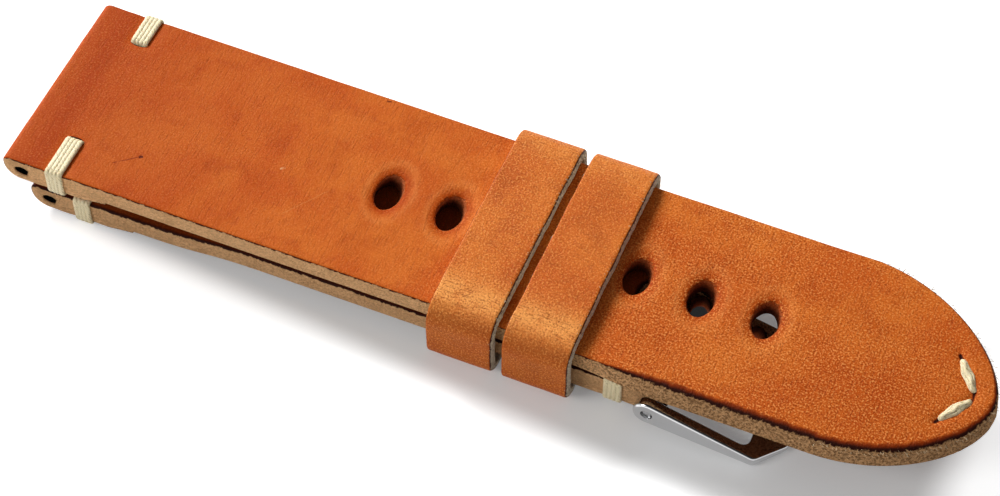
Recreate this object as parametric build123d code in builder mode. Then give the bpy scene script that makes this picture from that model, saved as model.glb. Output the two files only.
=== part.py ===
from build123d import *
import os
from math import asin, atan2, cos, degrees, hypot, sin

# Two-piece leather watch strap with two keepers and a tang buckle on a sprung bar, in millimetres.
# The origin is on the axis of the long half's spring bar bore, half way across the strap.
# +X runs along the strap to its tip, +Y across it, and +Z from the flesh side up to the grain side.
# The strap is laid flat, as it is stored: the long half lies on the short half, under both keepers.

# Strap halves
lug_width = 24.0  # across both lug ends
taper = 0.8  # how much narrower the strap is where its tip starts to curve
long_length = 108.5  # long half, from its lug end to its tip
bar_reach = 72.75  # short half, from its lug end to the buckle bar
lug_stagger = 2.9  # how far the short half's lug end lies behind the long half's
leather = 2.3  # one layer
fold = 3.2  # a folded end, over both layers
halves_gap = 0.45  # between the halves, which leaves room for the stitches
edge_round = 0.3  # dressed edge of the grain
clear = 0.25  # loose fit of leather round leather
overrun = 1.0  # how far a cut runs past what it cuts

# Lug folds
lug_bore = 1.9  # takes a 1.8 mm spring bar
lug_bore_wall = 0.7  # leather over the bore
nose = 2.35  # from the lug end to the bore's axis
nose_top_radius = 0.9
nose_bottom_radius = 2.0
lug_tab = 12.4  # from the lug end to the end of the folded tab
buckle_tab = 16.2  # from the buckle bar back to the end of its folded tab
tab_skive = 3.0  # the length over which a tab's end is pared down
tab_feather = 0.3  # what the paring leaves at the end
bend_start = 13.5  # from the short half's lug end to where it bends up
bend_length = 15.0
bend_shares = (0.45, 0.55)  # of the bend's length, where its curve is steered

# Holes across the strap, and the tip
hole_count = 7
hole_pitch = 7.15
first_hole = 40.95  # from the lug end
hole_along = 3.2
hole_across = 5.0
hole_rim = 0.3
tip_length = 16.0
tip_shares = ((0.0, 1.0), (0.56, 0.98), (1.0, 0.39), (1.0, 0.0))  # of its length and half its width
tip_skew = 0.8  # how far the point of the hand-cut tip lies to the near side of the middle

# Waxed thread
thread = 0.45
thread_sink = 0.15  # how deep a tight thread beds in the leather
thread_fit = 0.04
strands = 4
strand_pitch = 0.46
strand_bevel = 0.13
lug_stitch = 6.4  # from a lug end to the middle of its bands
long_near_reach = 5.1  # from the edge to the hole where the band goes through
long_far_reach = 3.9
short_reach = 4.6
buckle_stitch = 4.3  # from the buckle bar back to the middle of the bands
tip_stitch_fore = 2.2  # from the tip to the front ends of the V
tip_stitch_aft = 4.9  # from the tip to the back ends of the V
tip_stitch_gap = 0.45  # from the V's middle line to a front end
tip_stitch_spread = 4.4  # from the V's middle line to a back end
tip_stitch_proud = 0.3  # how far a stitch of the V stands above the grain
tip_stitch_sink = 0.3  # how deep it lies in its groove
tip_leg = 0.7

# Keepers
keeper_leather = 1.2
keeper_width = 7.3
keeper_to_bar = 8.8  # from the fixed keeper to the buckle bar
keeper_gap = 1.25  # between the keepers
keeper_side_clear = 0.75  # between a keeper's side and the strap's edge
keeper_inner_radius = 0.8
keeper_edge = 0.25
keeper_lift = 0.38  # over the grain, so that the stitches at the tip pass underneath
butt_gap = 0.12  # between a keeper's ends, which meet underneath
seam_span = 3.2
seam_pitch = 1.9
seam_count = 3
seam_thread = 0.35

# Buckle frame
buckle_clear = 0.28  # between the leather and an ear
side_bar = 1.25
ear_radius = 1.6
frame_reach = 14.7  # from the bar's axis to the outer edge of the front plate
front_plate = 3.9  # how wide the front plate is, fore and aft
front_thickness = 0.9
corner_along = 2.7  # the straight cut across each front corner, fore and aft
corner_across = 3.4
corner_radius = 1.0  # at both ends of that cut
inner_corner_radius = 1.0
frame_edge = 0.3
ear_hole = 1.3

# Sprung bar
tube_diameter = 1.6
tube_bore = 1.25
tube_inset = 1.95  # from an ear's inner face to the tube's end
tube_mouth = 1.0  # the crimped ends
tube_crimp = 0.5
bar_bore_fit = 0.1  # between the tube and the leather
tip_diameter = 1.15
pin_tip_short = 0.2  # how far the pin's tip stops short of the ear's outer face
flange_diameter = 1.5
flange_thickness = 0.35
flange_seat = 0.05  # between the flange and the ear
stem_diameter = 0.85
head_diameter = 1.1
head_length = 1.0
head_setback = 0.6  # from the crimp to the head, at rest
tip_chamfer = 0.15
spring_wire = 0.2
spring_wire_sides = 6
spring_radius = 0.42
spring_turns = 12
spring_seat = 0.03  # between the spring's ends and the pins' heads

# Tongue
tongue_width = 4.2
tongue_thickness = 0.8
tongue_curl_fit = 0.05
tongue_seat = 0.05  # between the tongue and the front plate
tongue_bend_end = 9.0  # from the bar to where the tongue's curve ends
tongue_overhang = 0.45  # past the front plate
tongue_tip_radius = 1.3
tongue_edge = 0.25
tongue_slot_fit = 0.35
tongue_slot_back = 6.0  # from the bar to the back of the slot
curl_open_angle = 0.0  # degrees, where the curl's free end stops, straight ahead of the bar

# Places worked out from the sizes above
lug_x = -nose
tip_x = lug_x + long_length
grain_z = lug_bore_wall + lug_bore / 2
flesh_z = grain_z - leather
long_fold_z = grain_z - fold
short_lug_x = lug_x + lug_stagger
short_lug_z = long_fold_z - halves_gap
short_z = flesh_z - halves_gap
short_flesh_z = short_z - leather
short_fold_z = short_z - fold
bar_x = short_lug_x + bar_reach
tip_stitch_half = tip_stitch_sink + tip_stitch_proud  # half as wide as it is deep
bar_z = short_z - fold / 2
shoulder_x = tip_x - tip_length
os.makedirs("parts", exist_ok=True)


def half_width(x):
    """Half the width of both halves at x: they taper alike."""
    return (lug_width - taper * (x - lug_x) / (shoulder_x - lug_x)) / 2


def lug_fold_side(x, z):
    """Side view of a folded lug end whose corner is at x, with its grain at z."""
    with BuildSketch() as side:
        with BuildLine():
            Polyline(
                (x, z),
                (x + lug_tab, z),
                (x + lug_tab, z - leather - tab_feather),
                (x + lug_tab - tab_skive, z - fold),
                (x, z - fold),
                close=True,
            )
        make_face()
        nose_corners = side.vertices().group_by(Axis.X)[0].sort_by(Axis.Y)
        fillet(nose_corners[0], nose_bottom_radius)
        fillet(nose_corners[1], nose_top_radius)
        with Locations((x + nose, z - lug_bore_wall - lug_bore / 2)):
            Circle(lug_bore / 2, mode=Mode.SUBTRACT)
    return side.sketch


def thread_loop(x, breadth, y_ends, z_ends, thickness, bevel=0):
    """A closed loop of thread round a bar of leather, as broad as breadth along the strap."""
    wide = y_ends[1] - y_ends[0]
    high = z_ends[1] - z_ends[0]
    with BuildPart() as loop:
        with BuildSketch(Plane.YZ.offset(x - breadth / 2)):
            with Locations((sum(y_ends) / 2, sum(z_ends) / 2)):
                outer = Rectangle(wide, high)
                chamfer(outer.vertices(), thickness / 2)
                Rectangle(wide - 2 * thickness, high - 2 * thickness, mode=Mode.SUBTRACT)
        extrude(amount=breadth)
        if bevel:
            ends = loop.faces().filter_by(Axis.X)
            chamfer([edge for end in ends for edge in end.outer_wire().edges()], bevel)
    return loop.part


def band_ends(side, reach, x, z_low, z_high):
    """Where a band's loops lie: from the hole in the leather round the edge on that side."""
    edge = half_width(x) + thread - thread_sink
    leg = half_width(x) - reach - thread / 2
    y_ends = (leg, edge) if side > 0 else (-edge, -leg)
    proud = thread - thread_sink
    return y_ends, (z_low - proud, z_high + proud)


def band_seat(x, side, reach, z_low, z_high):
    """The room that a band takes in the leather."""
    y_ends, z_ends = band_ends(side, reach, x, z_low, z_high)
    y_room = (y_ends[0] - thread_fit, y_ends[1] + thread_fit)
    z_room = (z_ends[0] - thread_fit, z_ends[1] + thread_fit)
    breadth = strands * strand_pitch + 2 * thread_fit
    return thread_loop(x, breadth, y_room, z_room, thread + 2 * thread_fit)


def tip_stitch_plane(side):
    """The plane in which one stitch of the V at the tip lies, with its X along the stitch."""
    bed_z = grain_z - tip_stitch_sink
    fore = Vector(tip_x - tip_stitch_fore, side * tip_stitch_gap - tip_skew, bed_z)
    aft = Vector(tip_x - tip_stitch_aft, side * tip_stitch_spread - tip_skew, bed_z)
    return Plane(origin=fore, x_dir=aft - fore, z_dir=(0, 0, 1)), (aft - fore).length


def tip_stitch_seat(side):
    """The groove on the grain, the two holes and the groove underneath that a stitch takes."""
    plane, length = tip_stitch_plane(side)
    under = leather - tip_stitch_sink
    with BuildPart() as seat:
        with BuildSketch(plane):
            with BuildLine():
                ThreePointArc(
                    (-thread_fit, 0),
                    (length / 2, tip_stitch_half + thread_fit),
                    (length + thread_fit, 0),
                )
                mirror(about=Plane.XZ)
            make_face()
        extrude(amount=tip_stitch_sink + overrun)
        with BuildSketch(plane):
            with Locations((tip_leg, 0), (length - tip_leg, 0)):
                Circle(tip_leg / 2 + thread_fit)
        extrude(amount=-under)
        with BuildSketch(plane.offset(-under - overrun)):
            with Locations((length / 2, 0)):
                SlotOverall(length - tip_leg + 2 * thread_fit, tip_leg + 2 * thread_fit)
        extrude(amount=overrun + thread + thread_fit)
    return seat.part


# The six bands of thread: their middle, their side, their reach and the fold that they close
lug_stitch_x = lug_x + lug_stitch
short_stitch_x = short_lug_x + lug_stitch
buckle_stitch_x = bar_x - buckle_stitch
long_bands = {
    "long_lug_stitch_near": (lug_stitch_x, -1, long_near_reach, long_fold_z, grain_z),
    "long_lug_stitch_far": (lug_stitch_x, 1, long_far_reach, long_fold_z, grain_z),
}
short_bands = {
    "short_lug_stitch_near": (short_stitch_x, -1, short_reach, short_lug_z - fold, short_lug_z),
    "short_lug_stitch_far": (short_stitch_x, 1, short_reach, short_lug_z - fold, short_lug_z),
    "buckle_stitch_near": (buckle_stitch_x, -1, short_reach, short_fold_z, short_z),
    "buckle_stitch_far": (buckle_stitch_x, 1, short_reach, short_fold_z, short_z),
}
for name, (x, side, reach, z_low, z_high) in (long_bands | short_bands).items():
    y_ends, z_ends = band_ends(side, reach, x, z_low, z_high)
    first_strand = x - (strands - 1) * strand_pitch / 2
    with BuildPart() as band:
        for number in range(strands):
            strand_x = first_strand + number * strand_pitch
            add(thread_loop(strand_x, strand_pitch, y_ends, z_ends, thread, strand_bevel))
    band.part.label = name
    export_step(band.part, f"parts/{name}.step")

# The V at the tip: each stitch is a lens in the grain, two legs, and a run bedded in the flesh side
for name, side in (("tip_stitch_near", -1), ("tip_stitch_far", 1)):
    plane, length = tip_stitch_plane(side)
    with BuildPart() as stitch:
        with BuildSketch(plane):
            with BuildLine():
                ThreePointArc((0, 0), (length / 2, tip_stitch_half), (length, 0))
                Line((length, 0), (0, 0))
            make_face()
        revolve(axis=Axis(plane.origin, plane.x_dir), revolution_arc=180)
        with BuildSketch(plane):
            with Locations((tip_leg, 0), (length - tip_leg, 0)):
                Circle(tip_leg / 2)
        extrude(amount=tip_stitch_sink - leather)
        with BuildSketch(plane.offset(tip_stitch_sink - leather)):
            with Locations((length / 2, 0)):
                SlotOverall(length - tip_leg, tip_leg)
        extrude(amount=thread)
    stitch.part.label = name
    export_step(stitch.part, f"parts/{name}.step")

# Long half: one piece of leather, folded back at the lug end, with holes for the tongue
with BuildPart() as long_strap:
    with BuildSketch(Plane.XZ):
        add(lug_fold_side(lug_x, grain_z))
        with BuildLine():
            Polyline(
                (lug_stitch_x, grain_z),
                (tip_x, grain_z),
                (tip_x, flesh_z),
                (lug_stitch_x, flesh_z),
                close=True,
            )
        make_face()
    extrude(amount=lug_width / 2, both=True)
    with BuildSketch(Plane.XY.offset(long_fold_z)):
        with BuildLine():
            Line((lug_x, -half_width(lug_x)), (lug_x, half_width(lug_x)))
            shoulder = (lug_width - taper) / 2
            for side in (-1, 1):
                curve = [
                    (shoulder_x + along * tip_length, side * across * shoulder - along * tip_skew)
                    for along, across in tip_shares
                ]
                Line((lug_x, side * half_width(lug_x)), curve[0])
                Bezier(*curve)
        make_face()
    extrude(amount=fold, mode=Mode.INTERSECT)
    grain = long_strap.faces().filter_by(Axis.Z).sort_by(Axis.Z)[-1]
    fillet(grain.outer_wire().edges().filter_by(Axis.Y, reverse=True), edge_round)
    with BuildSketch(Plane.XY.offset(grain_z)):
        with Locations(*[(lug_x + first_hole + n * hole_pitch, 0) for n in range(hole_count)]):
            Ellipse(hole_along / 2, hole_across / 2)
    extrude(amount=-leather, mode=Mode.SUBTRACT)
    grain = long_strap.faces().filter_by(Axis.Z).sort_by(Axis.Z)[-1]
    chamfer(grain.inner_wires().edges(), hole_rim)
    for seat in long_bands.values():
        add(band_seat(*seat), mode=Mode.SUBTRACT)
    for side in (-1, 1):
        add(tip_stitch_seat(side), mode=Mode.SUBTRACT)
long_strap.part.label = "long_strap"
export_step(long_strap.part, "parts/long_strap.step")

# Keepers: a band of leather each, closed underneath with a few stitches through its butted ends
fixed_keeper_x = bar_x - keeper_to_bar - keeper_width
free_keeper_x = fixed_keeper_x - keeper_gap - keeper_width
keeper_inner_half = half_width(free_keeper_x) + keeper_side_clear
keeper_top_z = grain_z + keeper_lift
keeper_floor_z = short_fold_z - clear
floor_z = keeper_floor_z - keeper_leather


def seam_loops(x, top_z, fit=0):
    """The stitches across a keeper's butt joint, up to top_z, or with fit the room that they take."""
    first = x + keeper_width / 2 - (seam_count - 1) * seam_pitch / 2
    y_ends = (-seam_span / 2 - fit, seam_span / 2 + fit)
    z_ends = (floor_z - fit, top_z + fit)
    loops = [
        thread_loop(first + n * seam_pitch, seam_thread + 2 * fit, y_ends, z_ends, seam_thread + 2 * fit)
        for n in range(seam_count)
    ]
    return loops


# The free keeper's stitches stay inside its own leather, the fixed keeper's go on through the tab
free_seam_z = keeper_floor_z
fixed_seam_z = short_fold_z + fold - leather
for name, x, seam_z in (
    ("free_keeper", free_keeper_x, free_seam_z),
    ("fixed_keeper", fixed_keeper_x, fixed_seam_z),
):
    with BuildPart() as keeper:
        with BuildSketch(Plane.YZ.offset(x)):
            with Locations((0, (keeper_top_z + keeper_floor_z) / 2)):
                inner_height = keeper_top_z - keeper_floor_z
                RectangleRounded(
                    2 * (keeper_inner_half + keeper_leather),
                    inner_height + 2 * keeper_leather,
                    keeper_inner_radius + keeper_leather,
                )
                RectangleRounded(
                    2 * keeper_inner_half, inner_height, keeper_inner_radius, mode=Mode.SUBTRACT
                )
        extrude(amount=keeper_width)
        cut_edges = keeper.faces().filter_by(Axis.X)
        chamfer([edge for cut in cut_edges for edge in cut.outer_wire().edges()], keeper_edge)
        with BuildSketch(Plane.YZ.offset(x)):
            with Locations((0, floor_z + keeper_leather / 2)):
                Rectangle(butt_gap, keeper_leather + thread_fit)
        extrude(amount=keeper_width, mode=Mode.SUBTRACT)
        add(seam_loops(x, seam_z, thread_fit), mode=Mode.SUBTRACT)
    keeper.part.label = name
    export_step(keeper.part, f"parts/{name}.step")
    with BuildPart() as seam:
        add(seam_loops(x, seam_z))
    seam.part.label = f"{name}_seam"
    export_step(seam.part, f"parts/{name}_seam.step")

# Short half: one piece of leather, folded back at the lug end and round the buckle bar
tube_room = tube_diameter / 2 + bar_bore_fit
with BuildPart() as short_strap:
    with BuildSketch(Plane.XZ) as short_side:
        add(lug_fold_side(short_lug_x, short_lug_z))
        bend_x = short_lug_x + bend_start
        bend_end_x = bend_x + bend_length
        steer_1, steer_2 = [bend_x + share * bend_length for share in bend_shares]
        tab_end_x = bar_x - buckle_tab
        with BuildLine():
            Line((short_stitch_x, short_lug_z), (bend_x, short_lug_z))
            Bezier(
                (bend_x, short_lug_z),
                (steer_2, short_lug_z),
                (steer_1, short_z),
                (bend_end_x, short_z),
            )
            Line((bend_end_x, short_z), (bar_x, short_z))
            RadiusArc((bar_x, short_z), (bar_x, short_fold_z), fold / 2)
            Polyline(
                (bar_x, short_fold_z),
                (tab_end_x + tab_skive, short_fold_z),
                (tab_end_x, short_flesh_z - tab_feather),
                (tab_end_x, short_flesh_z),
                (bend_end_x, short_flesh_z),
            )
            Bezier(
                (bend_end_x, short_flesh_z),
                (steer_1, short_flesh_z),
                (steer_2, short_lug_z - leather),
                (bend_x, short_lug_z - leather),
            )
            Polyline(
                (bend_x, short_lug_z - leather),
                (short_stitch_x, short_lug_z - leather),
                (short_stitch_x, short_lug_z),
            )
        make_face()
        with Locations((bar_x, bar_z)):
            Circle(tube_room, mode=Mode.SUBTRACT)
    extrude(amount=lug_width / 2, both=True)
    with BuildSketch(Plane.XY.offset(short_lug_z - fold)):
        short_end_x = bar_x + fold / 2
        start, end = half_width(short_lug_x), half_width(short_end_x)
        with BuildLine():
            Polyline(
                (short_lug_x, -start),
                (short_end_x, -end),
                (short_end_x, end),
                (short_lug_x, start),
                close=True,
            )
        make_face()
    extrude(amount=short_z - short_lug_z + fold, mode=Mode.INTERSECT)
    outlines = short_strap.faces().sort_by(Axis.Y)
    side_edges = [edge for end in (outlines[0], outlines[-1]) for edge in end.outer_wire().edges()]
    fillet([edge for edge in side_edges if edge.center().Z > short_lug_z - edge_round], edge_round)
    with BuildSketch(Plane.XY.offset(short_fold_z)):
        with BuildLine():
            slot_half = tongue_width / 2 + tongue_slot_fit
            slot_x = bar_x - tongue_slot_back
            slot_out = short_end_x + overrun
            Line((slot_out, -slot_half), (slot_x + slot_half, -slot_half))
            RadiusArc((slot_x + slot_half, -slot_half), (slot_x + slot_half, slot_half), slot_half)
            Polyline(
                (slot_x + slot_half, slot_half), (slot_out, slot_half), (slot_out, -slot_half)
            )
        make_face()
    extrude(amount=fold, mode=Mode.SUBTRACT)
    for seat in short_bands.values():
        add(band_seat(*seat), mode=Mode.SUBTRACT)
    add(seam_loops(fixed_keeper_x, fixed_seam_z, thread_fit), mode=Mode.SUBTRACT)
short_strap.part.label = "short_strap"
export_step(short_strap.part, "parts/short_strap.step")

# Buckle frame: two ears on the bar, side bars that thin towards the front, and a flat front plate.
# It leans down from the bar until its front edge is level with the keepers' undersides.
lean = asin((bar_z - floor_z) / hypot(frame_reach, ear_radius)) - atan2(ear_radius, frame_reach)
fore = Vector(cos(lean), 0, -sin(lean))
bar_point = Vector(bar_x, 0, bar_z)
frame_side = Plane(origin=bar_point, x_dir=fore, z_dir=(0, -1, 0))
frame_plan = Plane(origin=bar_point, x_dir=fore, z_dir=(sin(lean), 0, cos(lean)))
ear_face = half_width(bar_x) + buckle_clear
buckle_half = ear_face + side_bar
with BuildPart() as buckle_frame:
    with BuildSketch(frame_side):
        with BuildLine():
            CenterArc((0, 0), ear_radius, 0, 360)
            Line((frame_reach, -ear_radius), (frame_reach, front_thickness - ear_radius))
        make_hull()
    extrude(amount=buckle_half, both=True)
    with BuildSketch(frame_plan.offset(-ear_radius)) as frame_outline:
        with BuildLine():
            Polyline(
                (-ear_radius, -buckle_half),
                (frame_reach - corner_along, -buckle_half),
                (frame_reach, corner_across - buckle_half),
                (frame_reach, buckle_half - corner_across),
                (frame_reach - corner_along, buckle_half),
                (-ear_radius, buckle_half),
                close=True,
            )
        make_face()
        fillet(frame_outline.vertices().sort_by(Axis.X)[2:], corner_radius)
    extrude(amount=2 * ear_radius, mode=Mode.INTERSECT)
    with BuildSketch(frame_plan.offset(-ear_radius)) as frame_opening:
        opening_x = frame_reach - front_plate
        with Locations(((opening_x - ear_radius - overrun) / 2, 0)):
            Rectangle(opening_x + ear_radius + overrun, 2 * ear_face)
        fillet(frame_opening.vertices().group_by(Axis.X)[-1], inner_corner_radius)
    extrude(amount=2 * ear_radius, mode=Mode.SUBTRACT)
    flat_faces = buckle_frame.faces().filter_by(GeomType.PLANE)
    plate_top = flat_faces.sort_by(lambda face: face.normal_at().Z)[-1]
    ear_seams = plate_top.edges().group_by(Axis.X)[0]
    fillet([edge for edge in plate_top.edges() if edge not in ear_seams], frame_edge)
    with BuildSketch(frame_side):
        Circle(ear_hole / 2)
    extrude(amount=buckle_half, both=True, mode=Mode.SUBTRACT)
buckle_frame.part.label = "buckle_frame"
export_step(buckle_frame.part, "parts/buckle_frame.step")

# Sprung bar: a tube whose ends are crimped in to hold the pins
tube_end = ear_face - tube_inset
crimp = tube_end - tube_crimp
flange_y = ear_face - flange_seat - flange_thickness
head_y = crimp - head_setback
tip_end_y = buckle_half - pin_tip_short
bar_plane = Plane(origin=bar_point, x_dir=(0, 1, 0), z_dir=(1, 0, 0))
bar_axis = Axis(bar_point, (0, 1, 0))

with BuildPart() as bar_tube:
    with BuildSketch(bar_plane):
        with BuildLine():
            Polyline(
                (0, tube_bore / 2),
                (0, tube_diameter / 2),
                (tube_end, tube_diameter / 2),
                (tube_end, tube_mouth / 2),
                (crimp, tube_mouth / 2),
                (crimp, tube_bore / 2),
                close=True,
            )
        make_face()
        mirror(about=Plane.YZ)
    revolve(axis=bar_axis)
bar_tube.part.label = "bar_tube"
export_step(bar_tube.part, "parts/bar_tube.step")

# Its end pins: a head inside the tube, a stem through the crimp, a flange and a tip in the ear
for name, side in (("bar_pin_near", -1), ("bar_pin_far", 1)):
    flange_end = flange_y + flange_thickness
    with BuildPart() as pin:
        with BuildSketch(bar_plane):
            with BuildLine():
                Polyline(
                    (side * (head_y - head_length), 0),
                    (side * (head_y - head_length), head_diameter / 2),
                    (side * head_y, head_diameter / 2),
                    (side * head_y, stem_diameter / 2),
                    (side * flange_y, stem_diameter / 2),
                    (side * flange_y, flange_diameter / 2),
                    (side * flange_end, flange_diameter / 2),
                    (side * flange_end, tip_diameter / 2),
                    (side * (tip_end_y - tip_chamfer), tip_diameter / 2),
                    (side * tip_end_y, tip_diameter / 2 - tip_chamfer),
                    (side * tip_end_y, 0),
                    close=True,
                )
            make_face()
        revolve(axis=bar_axis)
    pin.part.label = name
    export_step(pin.part, f"parts/{name}.step")

# Its spring, a coil between the pins' heads
spring_half = head_y - head_length - spring_seat - spring_wire / 2
spring_plane = Plane(origin=bar_point - Vector(0, spring_half, 0), x_dir=(1, 0, 0), z_dir=(0, 1, 0))
coil = spring_plane * Helix(2 * spring_half / spring_turns, 2 * spring_half, spring_radius)
with BuildPart() as bar_spring:
    with BuildSketch(Plane(origin=coil @ 0, z_dir=coil % 0)):
        RegularPolygon(spring_wire / 2, spring_wire_sides)
    sweep(path=coil, is_frenet=True)
bar_spring.part.label = "bar_spring"
export_step(bar_spring.part, "parts/bar_spring.step")

# Tongue: a flat strip curled round the bar, gently bent so that its end lies on the front plate.
# Its underside follows the curl, then one long arc, then a straight parallel to the plate.
curl_radius = tube_diameter / 2 + tongue_curl_fit
front_top = front_thickness - ear_radius
slope = atan2(front_top, frame_reach) - asin(ear_radius / hypot(frame_reach, front_top))
with BuildPart() as buckle_tongue:
    with BuildSketch(frame_side):
        down = Vector(cos(slope), sin(slope))
        normal = Vector(-sin(slope), cos(slope))
        plate_height = ear_radius + tongue_seat
        rise = plate_height - curl_radius
        long_radius = (tongue_bend_end**2 / rise + plate_height + curl_radius) / 2
        bend_centre = tongue_bend_end * down - (long_radius - plate_height) * normal
        leave_angle = degrees(atan2(-bend_centre.Y, -bend_centre.X))
        plate_angle = degrees(atan2(normal.Y, normal.X))
        curl_turn = leave_angle - 360 - curl_open_angle
        tongue_end = frame_reach + tongue_overhang
        with BuildLine():
            skin_ends = []
            for out in (0, tongue_thickness):
                curl = CenterArc((0, 0), curl_radius + out, curl_open_angle, curl_turn)
                CenterArc(bend_centre, long_radius + out, leave_angle, plate_angle - leave_angle)
                lift = (plate_height + out) * normal
                flat = Line(tongue_bend_end * down + lift, tongue_end * down + lift)
                skin_ends.append((curl @ 0, flat @ 1))
            for inner_end, outer_end in zip(*skin_ends):
                Line(inner_end, outer_end)
        make_face()
    extrude(amount=tongue_width / 2, both=True)
    tongue_end_face = buckle_tongue.faces().sort_by(Axis.X)[-1]
    fillet(tongue_end_face.edges().filter_by(Axis.Y, reverse=True), tongue_tip_radius)
    flat_faces = buckle_tongue.faces().filter_by(GeomType.PLANE)
    tongue_top = flat_faces.sort_by(lambda face: face.normal_at().Z)[-1]
    chamfer(tongue_top.edges().sort_by(Axis.X)[1:], tongue_edge)
buckle_tongue.part.label = "buckle_tongue"
export_step(buckle_tongue.part, "parts/buckle_tongue.step")
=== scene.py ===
import math

import bmesh
import bpy
import numpy as np
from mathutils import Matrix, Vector, noise
from mathutils.geometry import delaunay_2d_cdt


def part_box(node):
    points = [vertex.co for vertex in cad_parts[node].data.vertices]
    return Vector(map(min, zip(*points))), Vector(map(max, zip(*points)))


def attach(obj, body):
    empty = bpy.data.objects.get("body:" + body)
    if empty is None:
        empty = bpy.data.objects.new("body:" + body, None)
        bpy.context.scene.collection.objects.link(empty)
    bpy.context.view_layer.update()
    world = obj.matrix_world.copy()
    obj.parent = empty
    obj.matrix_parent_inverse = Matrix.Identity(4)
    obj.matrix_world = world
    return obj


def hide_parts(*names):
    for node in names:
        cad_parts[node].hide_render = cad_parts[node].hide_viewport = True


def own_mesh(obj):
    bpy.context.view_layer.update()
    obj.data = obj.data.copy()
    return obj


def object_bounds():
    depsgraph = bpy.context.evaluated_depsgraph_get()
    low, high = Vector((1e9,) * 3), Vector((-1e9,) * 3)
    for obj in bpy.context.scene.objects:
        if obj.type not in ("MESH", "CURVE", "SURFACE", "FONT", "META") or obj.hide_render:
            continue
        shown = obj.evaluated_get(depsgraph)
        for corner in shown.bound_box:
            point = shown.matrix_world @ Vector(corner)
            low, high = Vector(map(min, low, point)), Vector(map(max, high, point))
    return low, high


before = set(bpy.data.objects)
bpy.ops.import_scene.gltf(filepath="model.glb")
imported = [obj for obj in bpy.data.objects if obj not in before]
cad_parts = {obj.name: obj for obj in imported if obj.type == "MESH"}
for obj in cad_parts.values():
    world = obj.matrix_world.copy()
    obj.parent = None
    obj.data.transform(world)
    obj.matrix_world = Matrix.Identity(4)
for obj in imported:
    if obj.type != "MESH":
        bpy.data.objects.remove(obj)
cad_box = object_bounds()

# Long half: one strip of thick vegetable-tanned leather, cut with a strap knife and left raw at its
# edges. Its lug end is pared thin, folded back over the spring bar's bore and glued to itself. Seven
# oval holes are punched across it, and its grain side is waxed by hand. Lengths are in millimetres.
MM = 0.001
long_low, long_high = [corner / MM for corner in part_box("long_strap")]
lug_half = long_high.y
grain_z = long_high.z
leather = 2.3
taper = 0.4  # off each side, from the lug end to the tip's shoulder
tip_length = 16.0
tip_shares = ((0.0, 1.0), (0.56, 0.98), (1.0, 0.39), (1.0, 0.0))  # of the tip's length and half width
tip_skew = 0.8
shoulder_x = long_high.x - tip_length
nose = 2.35  # from the front of the fold to the middle of its bore
nose_radii = (2.0, 0.9)
bore = (1.0, 0.68)
bore_depth = 1.65
bore_tail = 1.4  # from the middle of the bore back to where the glued tab begins
lug_tab = 12.4
skive = 3.0
feather = 0.3  # what the knife leaves of the tab's end
hole = (1.6, 2.5)
hole_pitch = 7.15
hole_places = [long_low.x + 40.95 + hole_pitch * number for number in range(7)]
lug_stitch_x = long_low.x + 6.4
band_slot = (0.98, 0.42)
long_reaches = {-1: 5.0, 1: 3.8}  # how far in the near and the far band of thread reach
knife_lean = 0.8  # how far the foot of the cut stands out where the knife leaned most
lean_start = 0.6  # the share of that at the top of the cut
# The flesh side is darkened towards burnish, as painted shade
flesh_painted_shade = 0.5
side_spacing = 0.05
edge_step, turn_step = 0.5, 8.0  # the most between two rows, and the most turn of a bend in degrees
end_count = 46  # of points round the tip and across an end
overlap = 1.0  # how far the side view goes on past the tip


def half_width(x):
    """Half the width of both halves at x, which taper alike."""
    return lug_half - taper * (x - long_low.x) / (shoulder_x - long_low.x)


def arc(centre, radii, start, end):
    """Points of an arc or an ellipse's arc from start to end, in degrees."""
    angles = np.radians(np.linspace(start, end, 40))
    return np.stack([centre[0] + radii[0] * np.cos(angles), centre[1] + radii[1] * np.sin(angles)], 1)


def lengths_along(points):
    """How far along a line each of its points is."""
    return np.r_[0, np.cumsum(np.linalg.norm(np.diff(points, axis=0), axis=1))]


def steered(points, count):
    """A smooth curve from the first of four points to the last, steered by the two between them."""
    steps = np.linspace(0, 1, count)[:, None]
    weights = ((1 - steps) ** 3, 3 * (1 - steps) ** 2 * steps, 3 * (1 - steps) * steps ** 2, steps ** 3)
    return sum(weight * np.array(point) for weight, point in zip(weights, points))


def side_view(stretches):
    """Joins stretches of leather, seen from the side, into one table. Each stretch is a line on the grain
    and the line on the flesh side that belongs to it."""
    grain, flesh = [], []
    for lines in stretches:
        lines = [np.array(line, float) for line in lines]
        count = 2 + int(max(lengths_along(line)[-1] for line in lines) / side_spacing)
        for side, line in zip((grain, flesh), lines):
            gone = lengths_along(line)
            places = np.linspace(0, gone[-1], count)
            side.append(np.stack([np.interp(places, gone, line[:, axis]) for axis in (0, 1)], 1))
    grain, flesh = np.concatenate(grain), np.concatenate(flesh)
    along = lengths_along(grain)
    along += np.arange(len(along)) * 1e-7
    return along, grain, flesh


def rows_along(view, step):
    """Places along the leather, no further apart than step, and closer in a bend."""
    along, grain, flesh = view
    heading = np.unwrap(np.arctan2(*np.gradient(grain, axis=0).T[::-1]))
    bent = np.abs(np.gradient(heading)) / math.radians(turn_step)
    bent = np.convolve(bent, np.ones(9) / 9, "same")
    gone = np.cumsum(np.maximum(np.gradient(along) / step, bent))
    return np.interp(np.linspace(gone[0], gone[-1], int(gone[-1]) + 2), gone, along)


def place_along(view, x, z):
    """How far along the grain the point nearest to (x, z) is."""
    along, grain, flesh = view
    return along[np.argmin(np.hypot(grain[:, 0] - x, grain[:, 1] - z))]


def inward(loop):
    """Unit steps from a closed loop to its left, which is into the leather."""
    along = np.roll(loop, -1, 0) - np.roll(loop, 1, 0)
    along /= np.linalg.norm(along, axis=1)[:, None]
    return np.stack([-along[:, 1], along[:, 0]], 1)


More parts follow.
